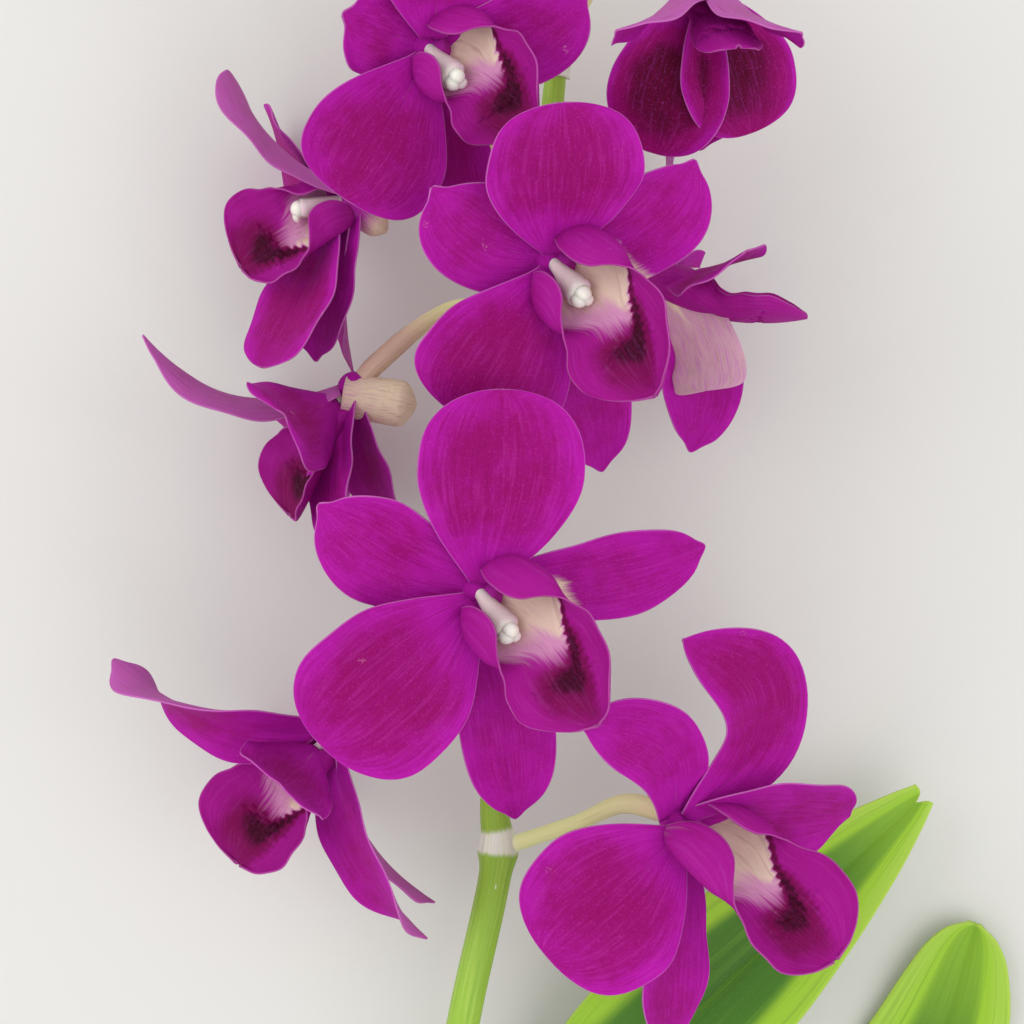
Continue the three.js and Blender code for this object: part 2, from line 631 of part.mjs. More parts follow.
const petalColour = 0x9c1590;
const lipColour = 0x8a1070;
const columnColour = 0xf0e2dc;
const pedicelColour = 0xb9b765;
const stemColour = 0x7ba53a;
const caneColour = 0x8aa24a;
const leafColour = 0x4f7f2c;
const budColour = 0xa2528f;

const spray = new THREE.Group();
spray.name = 'dendrobium_stem';
spray.position.set(-middle.x, -middle.y, 0);

const caneSolid = cane(0);
const caneGrown = cane(seam);
const stemGrown = stemRod(seam);

blooms.forEach((bloom) => {
  const place = (solid) => solid.translate(bloom.at);
  const petals = oneBody(place(perianth(bloom, 0)).trimByPlane([0, 0, 1], 0));
  const petalsGrown = place(perianth(bloom, seam));
  const columnSolid = cutClear(place(column(bloom, 0)), [petalsGrown]);
  const columnGrown = place(column(bloom, seam));
  const lipSolid = cutClear(place(lip(bloom)), [petalsGrown, columnGrown]);
  const pedicelSolid = cutClear(pedicel(bloom), [petalsGrown, stemGrown]);
  spray.add(meshFrom(`${bloom.name}_petals`, petals, finish(petalColour, 0.55)));
  spray.add(meshFrom(`${bloom.name}_lip`, lipSolid, finish(lipColour, 0.5)));
  spray.add(meshFrom(`${bloom.name}_column`, columnSolid, finish(columnColour, 0.4)));
  spray.add(meshFrom(`${bloom.name}_pedicel`, pedicelSolid, finish(pedicelColour, 0.5)));
});

spray.add(meshFrom('stem', cutClear(stem(), [caneGrown]), finish(stemColour, 0.45)));
spray.add(meshFrom('cane', caneSolid, finish(caneColour, 0.5)));
leaves.forEach((row) => {
  spray.add(meshFrom(row.name, cutClear(leaf(row), [caneGrown]), finish(leafColour, 0.4)));
});
buds.forEach((row) => {
  spray.add(meshFrom(row.name, cutClear(bud(row), [stemGrown]), finish(budColour, 0.5)));
});

export default spray;
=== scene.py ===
import math

import bpy
import numpy as np
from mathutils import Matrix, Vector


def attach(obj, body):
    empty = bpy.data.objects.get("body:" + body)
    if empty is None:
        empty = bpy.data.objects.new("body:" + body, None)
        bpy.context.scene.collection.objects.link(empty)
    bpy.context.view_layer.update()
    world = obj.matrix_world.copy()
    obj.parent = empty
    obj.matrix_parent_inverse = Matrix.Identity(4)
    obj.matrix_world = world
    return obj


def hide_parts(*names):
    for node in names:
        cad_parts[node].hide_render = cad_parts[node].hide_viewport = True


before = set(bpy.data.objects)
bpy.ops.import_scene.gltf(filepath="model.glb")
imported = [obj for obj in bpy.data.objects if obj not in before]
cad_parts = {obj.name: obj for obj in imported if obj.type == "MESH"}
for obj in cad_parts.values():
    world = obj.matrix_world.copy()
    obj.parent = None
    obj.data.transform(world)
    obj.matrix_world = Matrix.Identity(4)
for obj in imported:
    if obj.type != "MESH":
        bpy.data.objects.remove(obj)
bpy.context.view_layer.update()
print("frame loaded")

# Shapes are worked out in millimetres as the camera sees the spray: +X right, +Y to its tip, +Z to the
# camera. The middle of its box on the floor is the frame's origin.
middle = np.array([-6.08, -29.56, 0.0])
cameraHeight = 520.0  # mm above the floor, straight over the picture's middle
bloomHeight, pixelWide = 45.0, 0.16  # at the flowers' mean height a pixel of the picture is 0.16 mm wide
pixelFocal = (cameraHeight - bloomHeight) / pixelWide
pictureSide = 1024


def unit(a):
    return a / np.linalg.norm(a, axis=-1, keepdims=True)


def lean(tilt, bearing):  # a direction so many degrees from straight up, toward a bearing from +X
    t, b = math.radians(tilt), math.radians(bearing)
    return np.array([math.sin(t) * math.cos(b), math.sin(t) * math.sin(b), math.cos(t)])


def smoothStep(a, b, x):  # 0 before a, 1 after b, 3s2 - 2s3 between
    s = np.clip((x - a) / (b - a), 0, 1)
    return s * s * (3 - 2 * s)


def hill(x, place, wide):  # bell curve, exp(-((x - place) / wide)^2)
    return np.exp(-(((x - place) / wide) ** 2))


def curveValue(pairs, t):  # smooth curve through (place, value) pairs, slopes from the neighbours
    x, y = np.array(pairs, float).T
    before = np.maximum(np.arange(len(x)) - 1, 0)
    after = np.minimum(np.arange(len(x)) + 1, len(x) - 1)
    slope = (y[after] - y[before]) / (x[after] - x[before])
    k = np.clip(np.searchsorted(x, t, side="right") - 1, 0, len(x) - 2)
    h = x[k + 1] - x[k]
    u = (t - x[k]) / h
    return ((2 * u**3 - 3 * u**2 + 1) * y[k] + (u**3 - 2 * u**2 + u) * h * slope[k]
            + (3 * u**2 - 2 * u**3) * y[k + 1] + (u**3 - u**2) * h * slope[k + 1])


def smoothPath(points, share):
    # Centripetal Catmull-Rom curve through the points, read at shares of its length.
    p = np.array(points, float)
    p = np.vstack([2 * p[0] - p[1], p, 2 * p[-1] - p[-2]])
    a, b, c, d = p[:-3], p[1:-2], p[2:-1], p[3:]
    gap = [np.sqrt(np.linalg.norm(q - r, axis=1))[:, None] for q, r in ((b, a), (c, b), (d, c))]
    start = ((b - a) / gap[0] - (c - a) / (gap[0] + gap[1]) + (c - b) / gap[1]) * gap[1]
    end = ((c - b) / gap[1] - (d - b) / (gap[1] + gap[2]) + (d - c) / gap[2]) * gap[1]
    u = np.linspace(0, 1, 60, endpoint=False)[:, None, None]
    line = ((2 * u**3 - 3 * u**2 + 1) * b + (u**3 - 2 * u**2 + u) * start
            + (3 * u**2 - 2 * u**3) * c + (u**3 - u**2) * end)
    line = np.vstack([line.transpose(1, 0, 2).reshape(-1, 3), c[-1]])
    long = np.concatenate([[0], np.cumsum(np.linalg.norm(np.diff(line, axis=0), axis=1))])
    return np.stack([np.interp(np.asarray(share) * long[-1], long, line[:, k]) for k in range(3)], -1)


def framesAlong(line, front=None):
    # Tangent, side and front at each point; front is the flattest way the line has, unless it is given.
    tangent = unit(np.gradient(line, axis=0))
    if front is None:
        front = np.linalg.svd(line - line.mean(0))[2][2]
    side = unit(np.cross(front, tangent))
    return tangent, side, np.cross(tangent, side)


# Every piece is a set of lofts through closed rings of points.

def sheetRings(surface, thick):
    # Closed section of a thin sheet: a row of its front face, then the same row of its back, reversed.
    out = unit(np.cross(np.gradient(surface, axis=0), np.gradient(surface, axis=1)))
    front, back = surface + out * thick[..., None] / 2, surface - out * thick[..., None] / 2
    return np.concatenate([front, back[:, ::-1]], axis=1)


def bothFaces(a, b=None):  # a value for the front's grid and for the back's, laid as sheetRings lays points
    return np.concatenate([a, (a if b is None else b)[:, ::-1]], axis=1)


def tubeRings(line, wide, high, sides=24, front=None):
    # Ring point = line point + wide cos(a) side + high sin(a) front, for a once round.
    _, side, face = framesAlong(line, front)
    a = np.linspace(0, 2 * np.pi, sides, endpoint=False)
    wide, high = (np.broadcast_to(np.asarray(r, float), (len(line), sides)) if np.ndim(r) == 2
                  else np.broadcast_to(np.asarray(r, float), (len(line),))[:, None] for r in (wide, high))
    return (line[:, None] + (wide * np.cos(a))[..., None] * side[:, None]
            + (high * np.sin(a))[..., None] * face[:, None])


def tubeLay(rings):  # share round the tube, mirrored so that it has no seam, and share along it
    rows, sides = rings.shape[:2]
    a = np.arange(sides) / sides
    return np.broadcast_to(1 - np.abs(2 * a - 1), (rows, sides)), np.broadcast_to(
        np.linspace(0, 1, rows)[:, None], (rows, sides))


def layer(rings, across, along, **marks):
    return {"rings": rings, "across": across, "along": along, "marks": marks}


markNames = ("deep", "pale", "edge", "back", "chance")


def makePiece(name, layers, material, slotName, *nodes):
    # Joins lofted layers of closed rings into one mesh: quads between rings, strips of quads at both ends.
    points, faces, lay, marks, base = [], [], [], {k: [] for k in markNames}, 0
    for part in layers:
        rings = part["rings"]
        rows, sides = rings.shape[:2]
        i = np.arange(rows - 1)[:, None] * sides
        k = np.arange(sides)
        after = (k + 1) % sides
        faces.append(base + np.stack([i + k, i + sides + k, i + sides + after, i + after], -1).reshape(-1, 4))
        j = np.arange(sides // 2 - 1)
        strip = np.stack([j, j + 1, sides - 2 - j, sides - 1 - j], -1)
        faces.append(base + strip)
        faces.append(base + (rows - 1) * sides + strip[:, ::-1])
        points.append(rings.reshape(-1, 3))
        lay.append(np.stack([part["across"], part["along"]], -1).reshape(-1, 2))
        for key in markNames:
            value = part["marks"].get(key, 5.0 if key == "edge" else 0.0)
            marks[key].append(np.broadcast_to(value, (rows, sides)).reshape(-1))
        base += rows * sides
    points, faces, lay = np.concatenate(points), np.concatenate(faces), np.concatenate(lay)
    mesh = bpy.data.meshes.new(name)
    mesh.vertices.add(len(points))
    mesh.vertices.foreach_set("co", ((points - middle) / 1000).astype(np.float32).ravel())
    mesh.loops.add(faces.size)
    mesh.loops.foreach_set("vertex_index", faces.astype(np.int32).ravel())
    mesh.polygons.add(len(faces))
    mesh.polygons.foreach_set("loop_start", np.arange(0, faces.size, 4, dtype=np.int32))
    mesh.update(calc_edges=True)
    mesh.validate()
    mesh.polygons.foreach_set("use_smooth", np.ones(len(mesh.polygons), bool))
    corner = np.zeros(len(mesh.loops), np.int32)
    mesh.loops.foreach_get("vertex_index", corner)
    mesh.uv_layers.new(name="lay").data.foreach_set("uv", lay[corner].astype(np.float32).ravel())
    for key in markNames:
        values = np.concatenate(marks[key]).astype(np.float32)
        mesh.attributes.new(key, "FLOAT", "POINT").data.foreach_set("value", values)
    piece = bpy.data.objects.new(name, mesh)
    bpy.context.scene.collection.objects.link(piece)
    mesh.materials.append(material)
    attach(piece, "root")
    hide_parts(*nodes)
    return piece


# Materials: one builder lays tones over each other, and each tissue has its own look.

def linear(code):  # sRGB hex to linear colour
    parts = [int(code[k:k + 2], 16) / 255 for k in (1, 3, 5)]
    return [c / 12.92 if c <= 0.04045 else ((c + 0.055) / 1.055) ** 2.4 for c in parts] + [1.0]


def addNode(tree, kind, settings=(), links=(), out=0):
    # Adds a node and returns one of its outputs; keys are attributes, or inputs by name or number.
    node = tree.nodes.new("ShaderNode" + kind)
    for key, value in dict(settings).items():
        if isinstance(key, str) and hasattr(node, key):
            setattr(node, key, value)
        else:
            node.inputs[key].default_value = value
    for key, source in dict(links).items():
        tree.links.new(source, node.inputs[key])
    return node.outputs[out] if node.outputs else node


def growTissue(name, look):
    # Plant skin. Tones: its own, a deep and a darkest one, a pale one with a heart, the back's, the margin's.
    # A vein is veinMm wide on a blade acrossMm by alongMm, and drawn is how short it is for its length.
    # cloudy shifts the deep tones by soft patches of cloudMm, and ragged tears the pale tone's border.
    material = bpy.data.materials.new(name)
    material.use_nodes = True
    tree = material.node_tree
    tree.nodes.clear()
    mark = {k: addNode(tree, "Attribute", {"attribute_name": k}, out="Fac") for k in markNames}
    lay = addNode(tree, "UVMap", {"uv_map": "lay"})
    place = addNode(tree, "TexCoord", out="Object")

    stretch = (look["acrossMm"] / look["veinMm"], look["alongMm"] / look["veinMm"] * look["drawn"], 1)
    slide = addNode(tree, "Math", {"operation": "MULTIPLY", 1: 37.0}, {0: mark["chance"]})
    shift = addNode(tree, "CombineXYZ", {}, {2: slide})
    vein = addNode(tree, "VectorMath", {"operation": "MULTIPLY_ADD", 1: stretch}, {0: lay, 2: shift})
    veins = addNode(tree, "TexNoise", {"Scale": 1.0, "Detail": 2.0, "Roughness": 0.55}, {"Vector": vein})
    cloud = addNode(tree, "TexNoise", {"Scale": 1000 / look["cloudMm"], "Detail": 5.0, "Roughness": 0.68},
                    {"Vector": place})
    cells = addNode(tree, "TexNoise", {"Scale": 1000 / look["cellMm"], "Detail": 1.0}, {"Vector": place})
    spots = addNode(tree, "TexVoronoi", {"Scale": 1000 / look["fleckMm"]}, {"Vector": place})
    flecks = addNode(tree, "Math", {"operation": "MULTIPLY_ADD", 1: 0.25}, {0: cells, 2: spots})

    cloudy = addNode(tree, "Math", {"operation": "MULTIPLY_ADD", 1: look["cloudy"], 2: -0.5 * look["cloudy"]},
                     {0: cloud})
    deep = addNode(tree, "Math", {"operation": "ADD"}, {0: mark["deep"], 1: cloudy})
    tear = addNode(tree, "Math", {"operation": "MULTIPLY_ADD", 1: look["ragged"], 2: -0.5 * look["ragged"]},
                   {0: veins})
    ragged = addNode(tree, "Math", {"operation": "ADD"}, {0: mark["pale"], 1: tear})
    # deep past 1 lays the darkest tone: painted shade on bloom_9's tepals and in the lip's hollow, dark cloud
    # mottling elsewhere
    # each row: the tone laid over those before, its pattern, where its share is 0 and 1, its greatest share
    rows = [("deep", deep, 0.0, 1.0, 1.0), ("darkest", deep, 1.0, 2.0, 1.0),
            ("backTone", mark["back"], 0.0, 2.0, 2 * look["backShare"]), ("pale", ragged, 0.25, 0.75, 1.0),
            ("heart", ragged, 0.8, 1.5, 1.0), ("vein", veins, 0.5, 0.72, look["veinDark"]),
            # the cells' row lays painted glints where their domes would catch the light
            ("light", veins, 0.5, 0.3, look["veinLight"]), ("light", cells, 0.56, 0.74, look["sparkle"]),
            ("fleckTone", flecks, 0.17, 0.13, look["flecks"]),
            ("marginTone", mark["edge"], look["marginMm"] * 1.6, look["marginMm"] * 0.4, look["margin"])]
    colour = addNode(tree, "RGB")
    colour.default_value = linear(look["own"])
    for tone, pattern, low, high, most in rows:
        share = addNode(tree, "MapRange", {"interpolation_type": "SMOOTHSTEP", 1: low, 2: high, 4: most},
                        {0: pattern})
        colour = addNode(tree, "Mix", {"data_type": "RGBA", 7: linear(look[tone])}, {0: share, 6: colour},
                         out=2)

    least, most = look["roughness"] - 0.08, look["roughness"] + 0.08
    rough = addNode(tree, "MapRange", {1: 0.3, 2: 0.7, 3: least, 4: most}, {0: cells})
    cellHeight = addNode(tree, "Math", {"operation": "MULTIPLY", 1: look["cellHigh"]}, {0: cells})
    height = addNode(tree, "Math", {"operation": "MULTIPLY_ADD", 1: look["veinHigh"]},
                     {0: veins, 2: cellHeight})
    bump = addNode(tree, "Bump", {"Strength": look["bump"], "Distance": 0.0004}, {"Height": height})
    settings = {"Subsurface Weight": look["glow"], "Subsurface Scale": 0.0012,
                "Subsurface Radius": (1.0, 0.35, 0.6), "Specular IOR Level": look["gloss"], "IOR": 1.42}
    skin = addNode(tree, "BsdfPrincipled", settings,
                   {"Base Color": colour, "Roughness": rough, "Normal": bump})
    addNode(tree, "OutputMaterial", {}, {"Surface": skin})
    return material


# Dendrobium tepal, grown: a skin of tiny domed cells. The eye gets violet magenta with a crimson heart,
# fine veins, a mottled velvet with painted glints on its cells, and a hair-thin light margin.
tepalLook = {
    "own": "#b017a0", "deep": "#930b69", "darkest": "#57082a", "vein": "#850650", "light": "#cf45c0",
    "pale": "#ecdcbc", "heart": "#ecdcbc", "backTone": "#d596cb", "backShare": 0.35,
    "marginTone": "#df9fd6", "margin": 0.28, "marginMm": 0.09, "fleckTone": "#dd7fae", "flecks": 0.45,
    "fleckMm": 12.0, "acrossMm": 24.0, "alongMm": 34.0, "veinMm": 0.45, "drawn": 0.06, "veinDark": 0.35,
    "veinLight": 0.12, "cloudMm": 7.0, "cloudy": 1.5, "cellMm": 0.35, "sparkle": 0.18, "ragged": 0.45,
    "roughness": 0.6, "veinHigh": 0.6, "cellHigh": 0.3, "bump": 0.4, "glow": 0.04, "gloss": 0.07,
}
# Dendrobium lip, grown: smoother and thicker than the tepals. The eye gets a near-black crimson hollow, the
# crest's own dark tone deepened by painted shade, beside a torn cream throat that fades through pink into
# violet.
lipLook = {
    **tepalLook, "own": "#a01488", "deep": "#78084f", "darkest": "#3e041f", "vein": "#8c1562",
    "light": "#c85ab8", "pale": "#d08fb8", "heart": "#e4cab9", "backTone": "#a81c94",
    "marginTone": "#cc80be", "marginMm": 0.08, "acrossMm": 26.0, "alongMm": 34.0, "veinMm": 0.55,
    "veinDark": 0.3, "veinLight": 0.08, "cloudMm": 3.5, "cloudy": 0.7, "sparkle": 0.06, "flecks": 0.1,
    "fleckMm": 7.0, "ragged": 0.8, "bump": 0.45, "gloss": 0.08,
}
# Column and anther cap, grown: waxy and translucent. The eye gets a cream white glow with a violet rim.
columnLook = {
    **tepalLook, "own": "#f3e6df", "deep": "#c77ab6", "darkest": "#a04a90", "vein": "#e2bfcd",
    "light": "#ffffff", "pale": "#fffaf0", "heart": "#fff6dc", "backTone": "#d9a9cf", "margin": 0.0,
    "flecks": 0.0, "cloudy": 0.2, "veinDark": 0.3, "sparkle": 0.1, "roughness": 0.32, "gloss": 0.5,
    "glow": 0.3, "bump": 0.15,
}
# Pedicel and ovary, grown: smooth and a little waxy. The eye gets pale green turning pink toward the flower.
pedicelLook = {
    **columnLook, "own": "#eaeda8", "deep": "#dab8a4", "darkest": "#b98a90", "vein": "#c2c878",
    "light": "#f0f0c8", "pale": "#f0f0dc", "heart": "#f0f0dc", "acrossMm": 6.0, "alongMm": 40.0,
    "veinMm": 0.7, "drawn": 0.05, "cloudMm": 9.0, "cloudy": 0.15, "roughness": 0.4, "gloss": 0.35,
    "bump": 0.2, "glow": 0.15,
}
# Flower stem, grown: waxy and faintly ridged. The eye gets fresh green, and a dry papery ring at its node.
stemLook = {
    **pedicelLook, "own": "#9cc345", "deep": "#6a9230", "darkest": "#46701f", "vein": "#74a030",
    "light": "#c9df74", "pale": "#f2f4e4", "heart": "#f2f4e4", "acrossMm": 9.0, "alongMm": 280.0,
    "veinMm": 0.6, "drawn": 0.03, "veinDark": 0.35, "veinLight": 0.25, "cloudMm": 20.0, "cloudy": 0.4,
    "ragged": 0.5, "roughness": 0.38, "gloss": 0.3, "bump": 0.3, "glow": 0.08,
}
# Cane top, grown: fleshy, under dry ribbed sheaths. The eye gets dull green with straw-coloured rings.
caneLook = {
    **stemLook, "own": "#9db75a", "deep": "#78963f", "vein": "#879a44", "light": "#d3d99e",
    "pale": "#e2dec4", "heart": "#e2dec4", "acrossMm": 20.0, "alongMm": 75.0, "veinMm": 0.9,
    "roughness": 0.45, "bump": 0.5,
}
# Strap leaf, grown: thick cuticle, low gloss. The eye gets dark green along the middle, yellow-green margins.
leafLook = {
    **stemLook, "own": "#4d7f28", "deep": "#31591c", "darkest": "#25471a", "vein": "#3c6b1e",
    "light": "#7fb038", "pale": "#9ac636", "heart": "#a6cc4a", "backTone": "#88ad4f", "margin": 0.5,
    "marginMm": 0.3, "marginTone": "#bcd860", "acrossMm": 30.0, "alongMm": 110.0, "veinMm": 0.9,
    "drawn": 0.02, "veinDark": 0.3, "veinLight": 0.18, "cloudMm": 30.0, "cloudy": 0.35, "ragged": 0.2,
    "roughness": 0.42, "gloss": 0.22, "bump": 0.25, "glow": 0.05,
}
# Flower bud, grown: closed sepals with the tepals' velvet. The eye gets dusky magenta over green.
budLook = {
    **tepalLook, "own": "#ae4896", "deep": "#7a1f5f", "pale": "#b3c06a", "heart": "#b3c06a",
    "acrossMm": 20.0, "alongMm": 14.0, "veinMm": 0.6, "veinLight": 0.3, "cloudMm": 6.0, "flecks": 0.0,
    "ragged": 0.4, "margin": 0.0,
}
skins = {
    "petal": growTissue("tepalVelvet", tepalLook), "lip": growTissue("lipFlesh", lipLook),
    "column": growTissue("columnWax", columnLook), "pedicel": growTissue("pedicelSkin", pedicelLook),
    "stem": growTissue("stemSkin", stemLook), "cane": growTissue("caneSheath", caneLook),
    "leaf": growTissue("leafCuticle", leafLook), "bud": growTissue("budSkin", budLook),
}
print("materials made")


# Blooms: forms shared by the petals, the side sepals and the top sepals, then one row for each flower.

petal = {"wide": 27, "cup": 0.3, "cupTip": 0.15, "bow": 0.08, "base": 0.16, "widest": 0.6, "broad": 1.05,
         "tip": 2.6, "point": 2.1, "lift": 0.9, "beak": 0.0, "dark": 0.95, "back": 0.15}
sepal = {"wide": 15.5, "cup": 0.35, "cupTip": 0.4, "bow": 0.06, "base": 0.42, "widest": 0.58, "broad": 0.9,
         "tip": 2.3, "point": 1.75, "lift": -1.1, "beak": 1.2, "dark": 0.55, "back": 1.0}
dorsal = {**sepal, "wide": 17.5}
hubMade = {"radius": 2.7, "behind": 1.9}  # the ball where the tepals meet, that far behind their middle
chinMade = {"long": 8.7, "root": 3.3, "end": 2.0, "pale": 0.2}


def bloom(name, at, face, up, tepals, lip, column, pedicel, **rest):
    return {"name": name, "at": np.array(at, float), "face": lean(*face), "up": lean(*up), "tepals": tepals,
            "lip": lip, "column": column, "pedicel": pedicel, **rest}


def tepal(form, aim, reach, rise, **rest):
    return {**form, "aim": aim, "reach": reach, "rise": rise, **rest}


# Each tepal, lip and column says where its tip lies from the bloom's middle: bearing, reach over the floor
# and rise. face and up are a tilt from straight up and a bearing. bow and sweep are shares of the length,
# skew widens one side, cream and bleach are how pale a tepal is beside the lip or all over.
blooms = [
    bloom("bloom_1", (27.5, -50.6, 40), (48, -40), (90, 135), [
        tepal(dorsal, 132, 24, 19.3, wide=14, bow=0.08, sweep=-0.2),
        tepal(petal, 91, 30.5, 12, wide=18, sweep=-0.29, skew=-0.6, tip=1.7, point=1.25, widest=0.5),
        tepal(petal, -138, 30, 6, wide=28.5, roll=36), tepal(sepal, 0, 28, -14, wide=19, roll=10, sweep=0.07),
        tepal(sepal, -92.5, 37, -8, wide=14, sweep=-0.06),
    ], {"aim": -41, "reach": 32, "rise": 6, "size": 0.97, "inside": (50, 45), "twist": 40},
        {"aim": -41, "reach": 8.6, "rise": 3},
        {"leaves": -56.7, "via": [(11, -51.5, 27), (18.5, -48, 31.5)]}),
    bloom("bloom_2", (-31, -38.1, 28), (73, 228), (90, 140), [
        tepal(dorsal, 158.5, 36, 6, wide=17, bow=0.17, roll=42, twist=-30, twistTip=-70),
        tepal(petal, -140, 8, 20, wide=18), tepal(petal, -150, 9, -28, wide=22),
        tepal(sepal, -62.5, 35, 6, wide=15, bow=0.14, roll=-30, twistTip=50),
        tepal(sepal, -58, 32, -8, wide=14, bow=0.12, roll=14),
    ], {"aim": -125, "reach": 24.5, "rise": 2, "inside": (32, 150), "size": 1.06, "lobes": 0.48},
        {"aim": -132, "reach": 9, "rise": 1},
        {"leaves": -26, "via": [(-14, -26, 26), (-23, -30.5, 27.5)]}),
    bloom("bloom_3", (-5.2, -12.7, 50), (20, -42), (90, 148), [
        tepal(dorsal, 151.5, 27.5, 7, wide=17.5, sweep=0.04, roll=-10),
        tepal(petal, 84, 32, 8, wide=27, sweep=-0.015), tepal(petal, -136.5, 34.5, 4, wide=28),
        tepal(sepal, 11, 36, -8, wide=14, sweep=-0.03, cream=0.8),
        tepal(sepal, -81, 36.5, -11, wide=16, sweep=0.01),
    ], {"aim": -47, "reach": 27.5, "rise": 12, "sweep": 0.1, "twistTip": 30},
        {"aim": -52, "reach": 9, "rise": 6.5},
        {"leaves": -42, "via": [(-6, -31, 31), (-7.5, -18, 42)]}),
    bloom("bloom_4", (-27.7, 19.4, 28), (96, 219), (90, 135), [
        tepal(dorsal, 165, 33.2, 6, wide=14, bow=0.19),
        tepal(petal, -155, 9.5, 20, wide=20, cup=0.7, cupTip=0.6),
        tepal(petal, -130, 12, -28, wide=24), tepal(sepal, -92, 25, 5, wide=14, roll=-50),
        tepal(sepal, -69, 23, -4, wide=13, roll=-40),
    ], {"aim": -114, "reach": 22, "rise": -4, "inside": (58, 150), "lobes": 0.48},
        {"aim": 219, "reach": 9, "rise": 1},
        {"leaves": 33, "via": [(-9.5, 34, 25.5), (-22.5, 24.5, 28)], "blush": 1.1},
        chin={"long": 12, "root": 3.6, "end": 4.0, "pale": 0.6}),
    bloom("bloom_5", (23.8, 39.4, 26), (79, -10), (90, 75), [
        tepal(dorsal, 84, 24, -12, wide=16), tepal(petal, 11, 14.5, 14, wide=19, roll=-42),
        tepal(petal, -60, 10, -26, wide=24),
        tepal(sepal, -67, 21, 5, wide=14, roll=-65, sweep=-0.1, widest=0.84, tip=6, point=4, beak=0, cup=0.6,
              back=2, bleach=0.45),
        tepal(sepal, -77, 29, -5, wide=14.5, roll=60, sweep=0.14),
    ], {"aim": -16, "reach": 26, "rise": 2, "bow": -0.1, "lobes": 0.8}, {"aim": -8, "reach": 9, "rise": 2},
        {"leaves": 22, "via": [(11, 32, 22), (16.5, 38.5, 24)]}),
    bloom("bloom_6", (6.5, 39.9, 46), (24, -42), (90, 150), [
        tepal(dorsal, 151, 21, 8, wide=17, sweep=0.12), tepal(petal, 87, 23.6, 14, wide=26),
        tepal(petal, -121, 29, 4, wide=27, widest=0.72, broad=1.25, point=2.4),
        tepal(sepal, 34, 26.5, 4, wide=16, sweep=-0.14, cream=0.8), tepal(sepal, -76, 33.3, -10, wide=14.5),
    ], {"aim": -54, "reach": 27, "rise": 12, "sweep": 0.1, "twistTip": 30},
        {"aim": -52, "reach": 8.6, "rise": 6.5},
        {"leaves": 9, "via": [(3, 22, 31), (4.5, 34, 40)]}),
    bloom("bloom_7", (-27.7, 51.7, 28), (81, 195), (90, 105), [
        tepal(dorsal, 133, 28.5, 4, wide=13.5, bow=0.11, roll=-16, twistTip=-16, tip=3.2, point=2.4, beak=0),
        tepal(petal, 134, 19, -26, wide=20), tepal(petal, -115, 31, 7, wide=18, roll=-40, bow=-0.04),
        tepal(sepal, -101, 26, -2, wide=15, roll=-40), tepal(sepal, -89, 27, -10, wide=14),
    ], {"aim": -146, "reach": 20.5, "rise": 0, "inside": (35, 105), "lobes": 0.75},
        {"aim": 195, "reach": 9, "rise": 1},
        {"leaves": 62, "via": [(-4.5, 61.5, 23.5), (-14, 55, 26)]}),
    bloom("bloom_8", (-13.5, 74.7, 42), (24, -42), (90, 150), [
        tepal(dorsal, 162, 13, 7, wide=16, tip=3.2, point=2.6, bow=0.02), tepal(petal, 82, 26, 14, wide=24),
        tepal(petal, -119, 28, 4, wide=25, widest=0.7, broad=1.2, point=2.3),
        tepal(sepal, 17, 25.6, 4, wide=16, sweep=-0.12), tepal(sepal, -78, 29, -14, wide=13),
    ], {"aim": -40, "reach": 22, "rise": 10, "size": 0.92, "sweep": 0.1, "twistTip": 30},
        {"aim": -52, "reach": 8.6, "rise": 6.5},
        {"leaves": 46, "via": [(-1, 60, 31), (-9.5, 71, 36)]}),
    # bloom_9 hangs face down in shade: dark=1.4 and dark=2 on its dorsal sepal and petals are painted shade
    bloom("bloom_9", (31, 87.4, 36), (66, -88), (156, -90), [
        tepal(dorsal, -89, 26, -12, wide=16, dark=1.4),
        tepal(petal, -105, 29.5, -4, wide=20, roll=38, dark=2),
        tepal(petal, -72, 26.5, -4, wide=20, roll=-38, dark=2), tepal(sepal, -138, 19, 24, wide=14),
        tepal(sepal, -45, 18.5, 24, wide=14),
    ], {"aim": -74, "reach": 15.5, "rise": 22, "size": 0.52}, {"aim": -89, "reach": 9, "rise": 4},
        {"leaves": 79, "via": [(17, 92, 27), (26, 97, 33)]}),
]


def widthShare(t, q):  # half width over the greatest: a sine rise to the widest place, then a rounded end
    rise = q["base"] + (1 - q["base"]) * np.sin(np.pi / 2 * np.clip(t / q["widest"], 0, 1)) ** q["broad"]
    end = np.clip((t - q["widest"]) / (1 - q["widest"]), 0, 1)
    return np.where(t < q["widest"], rise, np.clip(1 - end ** q["tip"], 0, 1) ** (1 / q["point"]))


